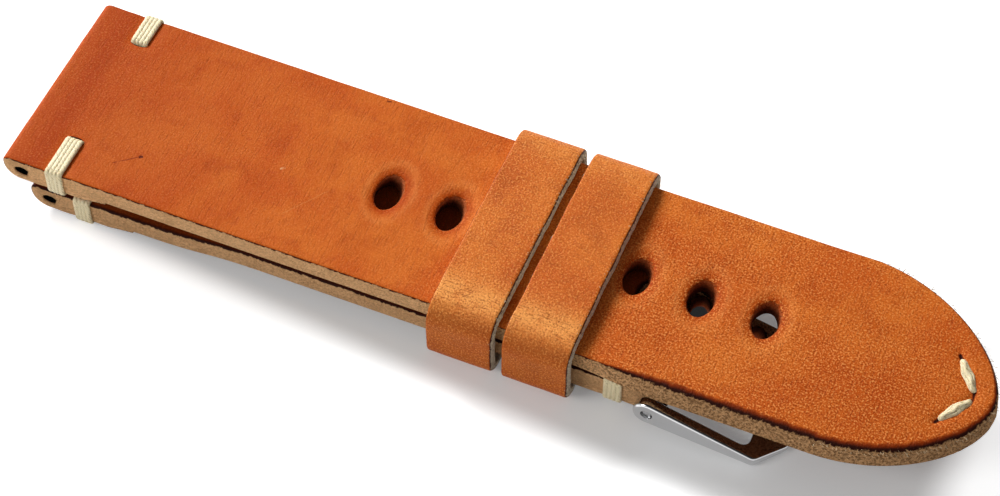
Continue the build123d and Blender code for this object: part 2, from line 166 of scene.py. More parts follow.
def inside(points, loop):
    """Which points lie inside a closed loop."""
    result = np.zeros(len(points), bool)
    for (ax, ay), (bx, by) in zip(loop, np.roll(loop, -1, 0)):
        if ay != by:
            crosses = (ay > points[:, 1]) != (by > points[:, 1])
            result ^= crosses & (points[:, 0] < (bx - ax) * (points[:, 1] - ay) / (by - ay) + ax)
    return result


def gap_to(points, loop):
    """Each point's distance from a loop's own points."""
    gap = np.full(len(points), 1e9)
    for start in range(0, len(loop), 64):
        steps = points[:, None, :] - loop[None, start:start + 64, :]
        gap = np.minimum(gap, np.sqrt((steps ** 2).sum(2)).min(1))
    return gap


def waves(points, size, seed):
    """Smooth unevenness from about -1 to 1 at each point, with features of size millimetres."""
    spots = np.column_stack([points, np.zeros(len(points))])[:, :3] / size
    return np.array([noise.fractal(Vector(spot) + Vector((0, 0, seed)), 1.0, 2.0, 3) for spot in spots])


def slot_loop(u, v, half_length, half_breadth, count):
    """An oval hole in the sheet, gone round clockwise."""
    angles = -np.linspace(0, 2 * math.pi, count, endpoint=False)
    return np.stack([u + half_length * np.cos(angles), v + half_breadth * np.sin(angles)], 1)


# The sheet's mesh: rings of points inside each cut and lines of them beside each pricked slit, and how far
# the other points keep clear of both. Then the rounding of the two rims and the size of a cut's tufts.
flat_step = 0.6
rim_rings, rim_clear = (0.22, 0.5), 0.75
slit_rows, slit_clear = (-0.8, -0.5, -0.28, -0.12, 0.0, 0.12, 0.28, 0.5, 0.8), 0.95
grain_round_most, flesh_round_most = 0.36, 0.13
tuft_across, tuft_down = 0.6, 0.3


def new_object(name, data):
    """A new object in the scene."""
    made = bpy.data.objects.new(name, data)
    bpy.context.scene.collection.objects.link(made)
    return made


def leather_piece(name, view, outline, holes, relief, finish, place, seed, fray=0.05, step=flat_step,
                  slits=()):
    """Makes one cut piece of leather. The outline and the holes are drawn on the flat sheet, as distance
    along the grain and distance across it. Each comes with the radius of its rounded grain edge, how dark
    its cut is painted, as shade, and how far the foot of the cut stands out. Relief says how deep the grain
    is pressed in, finish how it was burnished and dyed and where highlights and shade are painted on it,
    and place puts the sheet in the room. Slits are lines of points where the grain is pricked through."""
    along, grain, flesh = view
    cuts = [outline] + holes
    loops = [np.array(cut[0]) for cut in cuts]
    steps = np.concatenate([inward(loop) for loop in loops])
    rim = np.concatenate(loops)
    rounds = np.concatenate([np.broadcast_to(cut[1], len(cut[0])) for cut in cuts])
    darks = np.concatenate([np.full(len(cut[0]), cut[2]) for cut in cuts])
    out = np.concatenate([np.broadcast_to(cut[3], len(cut[0])) for cut in cuts])
    starts = np.cumsum([0] + [len(loop) for loop in loops])
    sides = []
    for first, last in zip(starts[:-1], starts[1:]):
        sides += [(n, n + 1 if n + 1 < last else first) for n in range(first, last)]

    rows = rows_along(view, step)[1:-1]
    columns = np.arange(rim[:, 1].min() + step, rim[:, 1].max(), step)
    pad = np.array([(u, v) for u in rows for v in columns])
    for loop, cut in zip(loops, cuts):
        pad = pad[gap_to(pad, loop) > np.max(cut[1]) + rim_clear]
        within = inside(pad, loop)
        pad = pad[within if loop is loops[0] else ~within]
    for extra in rim_rings:
        pad = np.concatenate([pad, rim + steps * (rounds + extra)[:, None]])
    for slit in slits:
        heading = (slit[-1] - slit[0]) / np.linalg.norm(slit[-1] - slit[0])
        pad = pad[gap_to(pad, slit) > slit_clear]
        for off in slit_rows:
            pad = np.concatenate([pad, slit + off * np.array([-heading[1], heading[0]])])
    top_rim = rim + steps * rounds[:, None]
    flat = np.concatenate([top_rim, pad])
    found = delaunay_2d_cdt([Vector(spot) for spot in flat], sides, [], 1, 1e-4)
    merged = np.array([group[0] for group in found[3]])
    faces = merged[np.array([face for face in found[2] if len(face) == 3])]
    middles = flat[faces].mean(1)
    kept = inside(middles, top_rim[:starts[1]])
    for first, last in zip(starts[1:-1], starts[2:]):
        kept &= ~inside(middles, top_rim[first:last])
    faces = faces[kept]
    spans = flat[faces]
    turned = np.cross(spans[:, 1] - spans[:, 0], spans[:, 2] - spans[:, 0]) < 0
    faces[turned] = faces[turned][:, ::-1]

    vertices, sheet, edge, looks = [], [], [], []

    def ends(spots):
        """The grain and the flesh side of the leather at each spot, seen from the side."""
        return [np.stack([np.interp(spots[:, 0], along, line[:, axis]) for axis in (0, 1)], 1)
                for line in (grain, flesh)]

    def lay(spots, depth, pressed, gap, dark):
        """Adds points at a depth under the grain, with what the leather's material reads at each."""
        top, low = ends(spots)
        thick = np.linalg.norm(low - top, axis=1)
        share = depth / thick
        sunk = share + pressed * (1 - share) / thick
        vertices.append(place(top + (low - top) * sunk[:, None], spots[:, 1]))
        sheet.append(np.column_stack([spots, depth]))
        made = finish(spots)
        edge.append(np.column_stack([gap, dark, made[:, 3]]))
        looks.append(made[:, :3])

    pad_gap = np.full(len(pad), 1e9)
    for line in loops + list(slits):
        pad_gap = np.minimum(pad_gap, gap_to(pad, line))
    lay(flat, np.zeros(len(flat)), relief(flat), np.r_[rounds, pad_gap], np.r_[darks, 0 * pad_gap])
    thick = np.linalg.norm(np.subtract(*ends(rim)), axis=1)
    grain_round = np.minimum(np.minimum(rounds, grain_round_most), 0.4 * thick)
    flesh_round = np.minimum(flesh_round_most, 0.25 * thick)
    pressed = relief(top_rim)
    shoulder = rounds + lean_start * out
    for turn in np.radians((20, 40, 60, 75, 90)):
        inset = rounds - shoulder * math.sin(turn)
        depth = grain_round * (1 - math.cos(turn))
        lay(rim + steps * inset[:, None], depth, pressed, rounds * (1 - math.sin(turn)), darks)
    for share in np.linspace(0, 1, 8)[1:]:
        depth = grain_round + share * (thick - grain_round - flesh_round)
        ragged = fray * waves(np.column_stack([rim / tuft_across, depth / tuft_down]), 1.0, seed)
        ragged -= out * (lean_start + (1 - lean_start) * share)
        lay(rim + steps * ragged[:, None], depth, pressed, 0 * rounds, darks)
    for turn in np.radians((45, 90)):
        inset = flesh_round * (1 - math.cos(turn))
        depth = thick - flesh_round * (1 - math.sin(turn))
        lay(rim + steps * (inset - out)[:, None], depth, pressed, inset, darks)
    under = np.concatenate([rim + steps * (1.6 * flesh_round - out)[:, None], pad])
    under_thick = np.linalg.norm(np.subtract(*ends(under)), axis=1)
    lay(under, under_thick, 0 * under_thick, np.r_[flesh_round, pad_gap], finish(under)[:, 4])

    rings = [0] + [len(flat) + len(rim) * number for number in range(len(vertices) - 1)]
    quads = [(upper + a, lower + a, lower + b, upper + b) for upper, lower in zip(rings, rings[1:])
             for a, b in sides]
    triangles = [tuple(face) for face in faces] + [tuple(rings[-1] + face[::-1]) for face in faces]
    mesh = bpy.data.meshes.new(name)
    mesh.from_pydata((np.concatenate(vertices) * MM).tolist(), [], triangles + quads)
    for title, values in (("sheet", sheet), ("edge", edge), ("looks", looks)):
        attribute = mesh.attributes.new(title, "FLOAT_VECTOR", "POINT")
        attribute.data.foreach_set("vector", np.concatenate(values).astype(np.float32).ravel())
    cleaner = bmesh.new()
    cleaner.from_mesh(mesh)
    bmesh.ops.delete(cleaner, geom=[v for v in cleaner.verts if not v.link_faces], context="VERTS")
    bmesh.ops.recalc_face_normals(cleaner, faces=cleaner.faces)
    cleaner.to_mesh(mesh)
    cleaner.free()
    mesh.shade_smooth()
    return new_object(name, mesh)


def across_strap(side, across):
    """Puts a side view of the strap, x and z, in the room."""
    return np.column_stack([side[:, 0], across, side[:, 1]])


def lug_fold(x, top_z, fold):
    """The stretches of a folded lug end whose front is at x, from the tab's end round to the top."""
    low_z = top_z - fold
    seam_z = top_z - leather
    centre = (x + nose, top_z - bore_depth)
    meet = math.degrees(math.asin((seam_z - centre[1]) / bore[1]))
    meet_point = tuple(arc(centre, bore, meet, meet)[0])
    tab_x, pared_x = x + lug_tab, x + lug_tab - skive
    low_radius, high_radius = nose_radii
    front = np.concatenate([
        arc((x + low_radius, low_z + low_radius), (low_radius, low_radius), 270, 180),
        arc((x + high_radius, top_z - high_radius), (high_radius, high_radius), 180, 90),
    ])
    behind = (centre[0] + bore_tail, top_z)
    return [
        ([(tab_x, seam_z - feather), (pared_x, low_z)], [(tab_x, seam_z), (pared_x, seam_z)]),
        ([(pared_x, low_z), (behind[0], low_z)], [(pared_x, seam_z), meet_point]),
        ([(behind[0], low_z), (x + low_radius, low_z)], arc(centre, bore, meet, -90)),
        (front, arc(centre, bore, -90, -270)),
        ([(x + high_radius, top_z), behind], arc(centre, bore, 90, meet)),
    ], behind, meet_point


def linear(hex_colour):
    """An sRGB hex colour as linear RGBA."""
    shares = [int(hex_colour[start:start + 2], 16) / 255 for start in (1, 3, 5)]
    return [s / 12.92 if s <= 0.04045 else ((s + 0.055) / 1.055) ** 2.4 for s in shares] + [1.0]


def add_node(tree, kind, settings, inputs, output=None):
    """Adds a node with its settings, and with inputs that are values or the sockets that feed them, by
    name or else in their order. Gives back the output that is named, or else the first one in use."""
    made = tree.nodes.new(kind)
    for setting, value in settings.items():
        setattr(made, setting, value)
    sockets = [socket for socket in made.inputs if socket.enabled]
    if isinstance(inputs, dict):
        sockets = [next(s for s in sockets if title in (s.name, s.identifier)) for title in inputs]
        inputs = inputs.values()
    for socket, value in zip(sockets, inputs):
        if isinstance(value, bpy.types.NodeSocket):
            tree.links.new(value, socket)
        else:
            socket.default_value = value
    return next((s for s in made.outputs if s.enabled and output in (None, s.name)), None)


def new_tree(name):
    """A new material's node tree, empty, with the material."""
    material = bpy.data.materials.new(name)
    material.use_nodes = True
    material.node_tree.nodes.clear()
    return material, material.node_tree


smooth = {"interpolation_type": "SMOOTHSTEP"}
pebble = 0.21
painted_bore_black = linear("#050302")


def tanned_leather(name, tones, waxed, scratches=()):
    """Vegetable-tanned cowhide, dyed through to tan and waxed by hand. The grain takes the dye in clouds,
    and its fine pebbles are lighter and darker, partly in their own colour and partly as painted glints and
    shade. Where it is bent or stretched the wax lightens, and that paler tone is also a painted highlight;
    its fine wrinkles are painted darker, as shade in their creases. Its cut edge is burnished dark at the
    grain and left as raw fibre below, like the flesh side. The walls of holes and slots are painted darker
    downwards, the bore black and the flesh side darker, all as painted shade. Tones are body, glow, deep,
    red, pebble light, pebble dark, burnish, raw, raw dark, soot. Scratches are lines on the sheet."""
    material, tree = new_tree(name)
    body, glow, deep, red, light, dim, burnish, raw, raw_dark, soot = [linear(tone) for tone in tones]
    sheet, edge, looks = [add_node(tree, "ShaderNodeAttribute", {"attribute_name": title}, {}, "Vector")
                          for title in ("sheet", "edge", "looks")]
    depth, gap, dark, coarse, burnt, pulled_and_highlight, dyed = [
        add_node(tree, "ShaderNodeSeparateXYZ", {}, {"Vector": values}, axis)
        for values, axis in ((sheet, "Z"), (edge, "X"), (edge, "Y"), (edge, "Z"),
                             (looks, "X"), (looks, "Y"), (looks, "Z"))
    ]

    def cloud(size, low, high, detail=4.0, warp=0.4, stretch=(1, 1, 1), shift=0.0):
        """A mask from 0 to 1 with soft patches of size millimetres."""
        moved = add_node(tree, "ShaderNodeMapping", {}, {
            "Vector": sheet, "Scale": [part / size for part in stretch], "Location": (shift, shift, 0),
        })
        patches = add_node(tree, "ShaderNodeTexNoise", {}, {
            "Vector": moved, "Scale": 1.0, "Detail": detail, "Roughness": 0.55, "Distortion": warp,
        })
        return add_node(tree, "ShaderNodeMapRange", smooth, (patches, low, high))

    def laid_over(colour, tone, mask, strength=1.0):
        """A colour with a tone laid over it, as far as the mask and the strength show it."""
        share = add_node(tree, "ShaderNodeMath", {"operation": "MULTIPLY"}, (mask, strength))
        return add_node(tree, "ShaderNodeMix", {"data_type": "RGBA"}, (share, colour, tone))

    colour = body
    for tone, strength, size, low, high, shift in (
        (glow, 1.0, 9.0, 0.36, 0.66, 0.0), (deep, 0.5, 4.0, 0.48, 0.74, 7.3),
        (red, 0.45, 1.6, 0.54, 0.78, 3.1), (glow, 0.25, 0.7, 0.5, 0.75, 1.7),
    ):
        colour = laid_over(colour, tone, cloud(size, low, high, shift=shift), strength)
    colour = laid_over(colour, deep, dyed, 0.85)
    # Paler wax where the hide is bent or stretched, laid on as a painted highlight too
    colour = laid_over(colour, light, pulled_and_highlight, cloud(1.3, 0.1, 0.6, shift=5.0))
    # Real pebbles of the grain are about 0.1 mm across, and these are twice that so that they show. Their
    # light and dark speckle is partly the grain's own colour and partly painted glints and shade of their
    # relief.
    pebbles = add_node(tree, "ShaderNodeTexNoise", {}, {
        "Vector": sheet, "Scale": 1 / pebble, "Detail": 2.0, "Roughness": 0.6, "Distortion": 0.1,
    })
    bold = cloud(14.0, 0.25, 0.6, detail=1.0, shift=2.0)
    bold = add_node(tree, "ShaderNodeMath", {"operation": "MULTIPLY_ADD"}, (bold, 0.225, 0.525))
    bold = add_node(tree, "ShaderNodeMath", {"operation": "MULTIPLY"}, (bold, coarse))
    for tone, start, full in ((light, 0.5, 0.66), (dim, 0.48, 0.32)):
        raised = add_node(tree, "ShaderNodeMapRange", smooth, (pebbles, start, full))
        colour = laid_over(colour, tone, raised, bold)
    # Fine wrinkles lie across the way that the hide was bent, and are painted darker as the shade in their
    # creases
    wrinkles = cloud(1.0, 0.52, 0.66, detail=3.0, warp=0.5, stretch=(5.0, 0.55, 1), shift=9.0)
    crease_shade = add_node(tree, "ShaderNodeMath", {"operation": "MULTIPLY_ADD"}, (pulled_and_highlight, 0.5, 0.18))
    colour = laid_over(colour, dim, wrinkles, crease_shade)
    for start, end, breadth, tone, strength in scratches:
        turn = math.atan2(end[1] - start[1], end[0] - start[0])
        laid = add_node(tree, "ShaderNodeMapping", {"vector_type": "TEXTURE"}, {
            "Vector": sheet, "Location": (*start, 0), "Rotation": (0, 0, turn),
            "Scale": (math.dist(start, end), breadth, 1),
        })
        run, off = [add_node(tree, "ShaderNodeSeparateXYZ", {}, {"Vector": laid}, axis) for axis in "XY"]
        sway = cloud(1.5, 0, 1)
        sway = add_node(tree, "ShaderNodeMath", {"operation": "MULTIPLY_ADD"}, (sway, 2.0, off))
        shown = strength
        for value, middle, faded, full in (
            (sway, 1.0, 1.0, 0.2), (run, 0.5, 0.5, 0.4), (depth, 0.0, 0.05, 0.0),
        ):
            value = add_node(tree, "ShaderNodeMath", {"operation": "SUBTRACT"}, (value, middle))
            value = add_node(tree, "ShaderNodeMath", {"operation": "ABSOLUTE"}, {"Value": value})
            shown = add_node(tree, "ShaderNodeMapRange", smooth, {
                "Value": value, "From Min": faded, "From Max": full, "To Max": shown,
            })
        colour = laid_over(colour, linear(tone), cloud(0.8, 0.3, 0.5, shift=start[0]), shown)

    # The cut: loose fibre bundles in every direction, pale at their broken ends
    fibres = cloud(0.55, 0.34, 0.64, warp=1.2, stretch=(1.0, 1.0, 1.8))
    flecks = cloud(0.28, 0.46, 0.6, detail=2.0, warp=0.3, shift=4.0)
    tufts = cloud(0.28, 0.54, 0.66, detail=2.0, warp=0.3, shift=12.0)
    clumps = cloud(2.4, 0.4, 0.7, shift=6.0)
    clumps = add_node(tree, "ShaderNodeMath", {"operation": "ADD"}, (fibres, clumps))
    speckled = add_node(tree, "ShaderNodeMath", {"operation": "MULTIPLY"}, (coarse, 0.6))
    # Painted shade: the walls of holes and slots are dark and darker downwards, the flesh side is darker,
    # and the bore is painted black
    down = add_node(tree, "ShaderNodeMapRange", smooth, (depth, 0.3, 1.7))
    painted_bore_share = add_node(tree, "ShaderNodeMapRange", smooth, (dark, 0.92, 1.0))
    raw_tone = raw
    for tone, mask, strength in (
        (raw_dark, coarse, 0.4), (raw_dark, clumps, 0.2), (soot, flecks, speckled), (raw, tufts, 0.8),
        (soot, burnt, 0.6), (deep, dark, 1.0), (burnish, down, dark), (painted_bore_black, painted_bore_share, 1.0),
    ):
        raw_tone = laid_over(raw_tone, tone, mask, strength)

    # The burnished band: red where it starts on the grain, near black at the edge, nibbled below
    wavy = cloud(1.1, 0.2, 0.8, shift=2.6)
    wavy = add_node(tree, "ShaderNodeMath", {"operation": "MULTIPLY_ADD"}, (wavy, -0.35, 1.1))
    broad = add_node(tree, "ShaderNodeMath", {"operation": "MAXIMUM"}, (burnt, 0.02))
    broad = add_node(tree, "ShaderNodeMath", {"operation": "MULTIPLY"}, (broad, wavy))
    reach = add_node(tree, "ShaderNodeMath", {"operation": "DIVIDE"}, (gap, broad))
    half_burnt = [(one + other) / 2 for one, other in zip(deep, burnish)]
    for tone, start, full in ((half_burnt, 1.5, 0.85), (burnish, 1.0, 0.4)):
        band = add_node(tree, "ShaderNodeMapRange", smooth, (reach, start, full))
        colour = laid_over(colour, tone, band)
    nibbled = cloud(0.45, 0.3, 0.7, detail=2.0, shift=8.0)
    nibbled = add_node(tree, "ShaderNodeMath", {"operation": "MULTIPLY_ADD"}, (nibbled, 0.14, depth))
    past_line = add_node(tree, "ShaderNodeMapRange", smooth, (nibbled, 0.2, 0.3))
    colour = laid_over(colour, raw_tone, past_line)

    creases = add_node(tree, "ShaderNodeTexNoise", {}, {
        "Vector": sheet, "Scale": 1 / 0.7, "Detail": 5.0, "Roughness": 0.6, "Distortion": 0.8,
    })
    relief = add_node(tree, "ShaderNodeMath", {"operation": "MULTIPLY_ADD"}, (wrinkles, -0.3, creases))
    relief = add_node(tree, "ShaderNodeMath", {"operation": "MULTIPLY_ADD"}, (pebbles, 1.3, relief))
    raw_relief = add_node(tree, "ShaderNodeMath", {"operation": "ADD"}, (fibres, flecks))
    raw_relief = add_node(tree, "ShaderNodeMath", {"operation": "MULTIPLY"}, (raw_relief, -1.6))
    waxy = add_node(tree, "ShaderNodeMath", {"operation": "MULTIPLY_ADD"}, (creases, 0.2, 0.42))
    height, rough = [add_node(tree, "ShaderNodeMix", {"data_type": "FLOAT"}, (past_line, grain, cut))
                     for grain, cut in ((relief, raw_relief), (waxy, 0.95))]
    bump = add_node(tree, "ShaderNodeBump", {}, {"Strength": 0.8, "Distance": 0.06 * MM, "Height": height})
    skin = add_node(tree, "ShaderNodeBsdfPrincipled", {}, {
        "Base Color": colour, "Roughness": rough, "Normal": bump, "IOR": 1.46, "Specular IOR Level": waxed,
    })
    add_node(tree, "ShaderNodeOutputMaterial", {}, {"Surface": skin})
    return material


stretches, behind, meet_point = lug_fold(long_low.x, grain_z, grain_z - long_low.z)
past_tip = long_high.x + overlap
stretches.append(([behind, (past_tip, grain_z)], [meet_point, (past_tip, grain_z - leather)]))
long_view = side_view(stretches)
long_end = long_view[0][-1] - overlap
curve = steered(tip_shares, end_count)
straight = np.array([u for u in rows_along(long_view, edge_step) if u < long_end - tip_length - 0.2])
side_x = np.interp(straight, long_view[0], long_view[1][:, 0])
near_side, far_side = [np.concatenate([
    np.column_stack([straight, side * half_width(side_x)]),
    np.column_stack([long_end - tip_length * (1 - curve[:, 0]),
                     side * curve[:, 1] * half_width(shoulder_x) - tip_skew * curve[:, 0]]),
]) for side in (-1, 1)]
tab_half = half_width(long_low.x + lug_tab)
tab_edge = np.column_stack([np.zeros(end_count), np.linspace(tab_half, -tab_half, end_count + 2)[1:-1]])
long_outline = np.concatenate([near_side[:-1], far_side[::-1], tab_edge])

# A punch draws the rim of a hole down. The cuts of holes and slots are painted dark, as the shade inside
# them. The slots for thread are pricked.
hole_rounding, hole_dark, hole_lean = 0.5, 0.85, 0.25
slot_rounding, slot_dark = 0.14, 0.9
long_holes = []
for x in hole_places:
    punched = slot_loop(place_along(long_view, x, grain_z), 0, *hole, 56)
    long_holes.append((punched, hole_rounding, hole_dark, hole_lean))


def band_slots(view, places, reaches):
    """The middles of the slots that the bands of thread go through, and the cuts themselves. Places are
    x and z on the grain, and reaches say how far in from the near and the far edge the slots are."""
    middles, slots = [], []
    for side, reach in reaches.items():
        for x, z in places:
            u, v = place_along(view, x, z), side * (half_width(x) - reach)
            middles.append((u, v))
            slots.append((slot_loop(u, v, *band_slot, 28), slot_rounding, slot_dark, 0))
    return middles, slots


lug_stitch_ends = ((lug_stitch_x, grain_z), (lug_stitch_x, long_low.z))
slot_places, slots = band_slots(long_view, lug_stitch_ends, long_reaches)
long_holes += slots


def fading(gap, reach, most=1.0):
    """A value that is most where there is no gap and fades away within about twice the reach."""
    return most * np.exp(-(gap / reach) ** 2)


def uneven(points, seed):
    """The slow swell of a hide's thickness, with a finer one on top."""
    return 0.035 * waves(points, 9.0, seed) + 0.012 * waves(points, 2.5, seed + 3)


def pressed_by_bands(points, slots):
    """How deep the bands of thread press the grain, from their slots out to the edge of the strap."""
    pressed = np.zeros(len(points))
    for u, v in slots:
        beside = np.hypot(np.maximum(np.abs(points[:, 0] - u) - band_slot[0], 0),
                          np.maximum(abs(v) - np.sign(v) * points[:, 1], 0))
        pressed += fading(beside, 0.6, 0.1)
    return pressed


def past_hole(points, middle):
    """How far each point on the sheet is past the rim of a hole, as a share of the hole."""
    return np.hypot((points[:, 0] - middle) / hole[0], points[:, 1] / hole[1]) - 1


def long_relief(points):
    """How deep the grain of the long half is pressed in: punching draws it down round each hole."""
    pressed = uneven(points, 1.0)
    for x in hole_places:
        past = past_hole(points, place_along(long_view, x, grain_z))
        pressed += fading(np.maximum(past, 0), 0.36, 0.2)
    for slit in tip_slits:
        pressed += fading(gap_to(points, slit), 0.5, 0.22)
    return pressed + pressed_by_bands(points, slot_places)


def x_of(points):
    """Where points on the long half's sheet lie along the strap, on its flat part."""
    return points[:, 0] - long_end + long_high.x


tail_start, tail_rise = 64, 11
tip_start, tip_rise = 78, 12


def tail_share(points):
    """From 0 on the lug's part of the long half to 1 on the near side of its tail, less on the far side."""
    along = np.clip((x_of(points) - tail_start) / tail_rise, 0, 1)
    return along ** 2 * (3 - 2 * along) * (0.62 - 0.38 * np.tanh(points[:, 1] / 5))


def lean_of(points):
    """How far the foot of the cut stands out: most on the near side of the tail, and a little all round
    the tip."""
    all_round = 0.45 * np.clip((x_of(points) - tip_start) / tip_rise, 0, 1)
    return knife_lean * np.maximum(tail_share(points), all_round)


def in_bore(view, points, centre):
    """1 where the flesh side under a spot on the sheet is the wall of the bore, and 0 elsewhere."""
    flesh = [np.interp(points[:, 0], view[0], view[2][:, axis]) for axis in (0, 1)]
    return 1.0 * (np.hypot(flesh[0] - centre[0], flesh[1] - centre[1]) < 1.05 * bore[0])


def long_finish(points):
    """The width of the burnished line, how far the hide is bent or stretched, with its painted highlight,
    how deep the dye is, how coarse the grain shows and how dark the flesh side is painted, as shade. Only
    the outer edges are burnished, and a dark band along each slit of the tip stitches is painted shadow.
    The rims of the holes are dark, and a paler ring outside each, where the punch stretched the grain, is
    also a painted highlight. The bore is painted black, as shade."""
    x = x_of(points)
    at_edge = np.maximum(np.clip(np.abs(points[:, 1]) / 3 - 1.3, 0, 1), np.clip((x - 92) / 5, 0, 1))
    burnt = (0.1 + 0.5 * np.maximum(tail_share(points) - 0.24, 0)) * at_edge
    # Along each slit of the tip stitches a dark band is painted, as the shadow of the slit and its stitch
    for slit in tip_slits:
        burnt[gap_to(points, slit) < 1.0] = slit_painted_shadow
    pulled_and_highlight = 0 * x
    dyed = fading(x - 1.4, 1.1, 0.35) + 0.95 * np.exp(-np.maximum(x, 0) / 32)
    dyed += tail_share(points) * (0.15 + 0.45 * np.clip((x - 80) / 15, 0, 1))
    for place in hole_places:
        gap = past_hole(points, on_sheet(place, 0)[0]) * hole[0]
        dyed += fading(gap, 0.5, 0.8)
        # A paler ring outside each hole: stretched grain, painted as a highlight too
        pulled_and_highlight += fading(gap - 1.0, 0.28, 0.22)
    coarse = 0.25 + 0.75 * np.clip((x - 40) / 30, 0, 1)
    # The bore is painted black and the flesh side darkened, as shade
    black = np.maximum(in_bore(long_view, points, (long_low.x + nose, grain_z - bore_depth)), flesh_painted_shade)
    return np.column_stack([burnt, pulled_and_highlight, np.minimum(dyed, 1.15), coarse, black])


def on_sheet(x, y):
    """Where a point on the flat part of the long half is on its sheet."""
    return x + long_end - long_high.x, y


tip_fore, tip_aft = (2.2, 0.45), (4.9, 4.4)  # the ends of a stitch: back from the tip, and off its middle
slit_painted_shadow = 0.22
slit_count = 22
tip_slits = []
for side in (-1, 1):
    ends = [on_sheet(long_high.x - back, side * across - tip_skew) for back, across in (tip_fore, tip_aft)]
    tip_slits.append(np.linspace(*np.array(ends), slit_count))

strap_tones = ("#CC5E1C", "#DC7428", "#A83C00", "#AE441A", "#F6A258", "#84340E", "#2C0E08", "#FFC992",
               "#BC8350", "#4A3018")
strap_leather = tanned_leather("vegetable_tanned_strap_leather", strap_tones, 0.06, (
    (on_sheet(9.2, -8.2), on_sheet(11.6, -6.3), 0.12, "#7A2406", 0.8),
    (on_sheet(11.5, -6.4), on_sheet(11.95, -6.1), 0.24, "#5A1804", 1.0),
    (on_sheet(29.0, -7.5), on_sheet(32.6, -2.3), 0.08, "#D98A4A", 0.4),
    (on_sheet(26.3, -1.8), on_sheet(26.9, -1.5), 0.2, "#E9B07C", 0.7),
    (on_sheet(33.1, 11.2), on_sheet(33.7, 11.3), 0.2, "#6B2208", 0.8),
))
long_edge = (long_outline, 0.3 + 0.2 * tail_share(long_outline), 0.0, lean_of(long_outline))
long_piece = leather_piece("long_half", long_view, long_edge, long_holes, long_relief, long_finish,
                           across_strap, 2.0, slits=tip_slits)
long_piece.data.materials.append(strap_leather)
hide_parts("long_strap")
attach(long_piece, "long_half")

# Loose fibres: single fibres of the hide that the knife pulled out of the cut, at the tip and along the
# keepers' right edges. Real ones are about half as thick, and these are drawn coarser so that they show.
fibre_spacing, fibre_thickness, fibre_stray = 0.26, 0.06, 0.2
tip_fibre, keeper_fibre = 0.36, 0.18
fibre_bed = 0.3  # how deep under the grain the tip's fibres start


def new_group(name, inputs, output):
    """An empty Geometry Nodes tree with named inputs, and the sockets that give them."""
    tree = bpy.data.node_groups.new(name, "GeometryNodeTree")
    for title, kind in inputs.items():
        tree.interface.new_socket(title, in_out="INPUT", socket_type="NodeSocket" + kind)
    tree.interface.new_socket(output, in_out="OUTPUT", socket_type="NodeSocketGeometry")
    return tree, add_node(tree, "NodeGroupInput", {}, {}).node.outputs


def fibre_tree():
    """Scatters bent fibres along a line. They point the way that the line's points say, more or less."""
    tree, given = new_group("scattered_fibres", {
        "Line": "Geometry", "Spacing": "Float", "Length": "Float", "Thickness": "Float", "Seed": "Int",
        "Fibre": "Material",
    }, "Fibres")
    line = add_node(tree, "GeometryNodeMeshToCurve", {}, {"Mesh": given["Line"]})
    line = add_node(tree, "GeometryNodeResampleCurve", {"mode": "LENGTH"}, {
        "Curve": line, "Length": given["Spacing"],
    })
    stray = add_node(tree, "FunctionNodeRandomValue", {"data_type": "FLOAT_VECTOR"}, {
        "Min": [-fibre_stray * MM] * 3, "Max": [fibre_stray * MM] * 3, "Seed": given["Seed"],
    })
    line = add_node(tree, "GeometryNodeSetPosition", {}, {"Geometry": line, "Offset": stray})
    bend = add_node(tree, "GeometryNodeCurveQuadraticBezier", {}, {
        "Resolution": 4, "Start": (0, 0, 0), "Middle": (0.1, 0, 0.6), "End": (0.45, 0, 0.8),
    })
    fine = add_node(tree, "ShaderNodeMath", {"operation": "DIVIDE"}, (given["Thickness"], given["Length"]))
    fine = add_node(tree, "ShaderNodeMath", {"operation": "MULTIPLY"}, (fine, 0.5))
    section = add_node(tree, "GeometryNodeCurvePrimitiveCircle", {}, {"Resolution": 3, "Radius": fine})
    fibre = add_node(tree, "GeometryNodeCurveToMesh", {}, {
        "Curve": bend, "Profile Curve": section, "Fill Caps": True,
    })
    out = add_node(tree, "GeometryNodeInputNamedAttribute", {"data_type": "FLOAT_VECTOR"}, {"Name": "out"})
    sway = add_node(tree, "FunctionNodeRandomValue", {"data_type": "FLOAT_VECTOR"}, {
        "Min": [-0.9] * 3, "Max": [0.9] * 3, "Seed": 3,
    })
    way = add_node(tree, "ShaderNodeVectorMath", {"operation": "ADD"}, (out, sway))
    turn = add_node(tree, "FunctionNodeAlignRotationToVector", {"axis": "Z"}, {"Vector": way})
    size = add_node(tree, "FunctionNodeRandomValue", {"data_type": "FLOAT"}, {
        "Min": 0.3, "Max": 1.3, "Seed": 5,
    })
    size = add_node(tree, "ShaderNodeMath", {"operation": "MULTIPLY"}, (size, given["Length"]))
    fibres = add_node(tree, "GeometryNodeInstanceOnPoints", {}, {
        "Points": line, "Instance": fibre, "Rotation": turn, "Scale": size,
    })
    fibres = add_node(tree, "GeometryNodeRealizeInstances", {}, {"Geometry": fibres})
    fibres = add_node(tree, "GeometryNodeSetMaterial", {}, {"Geometry": fibres, "Material": given["Fibre"]})
    add_node(tree, "NodeGroupOutput", {}, {"Fibres": fibres})
    return tree


scattered_fibres = fibre_tree()


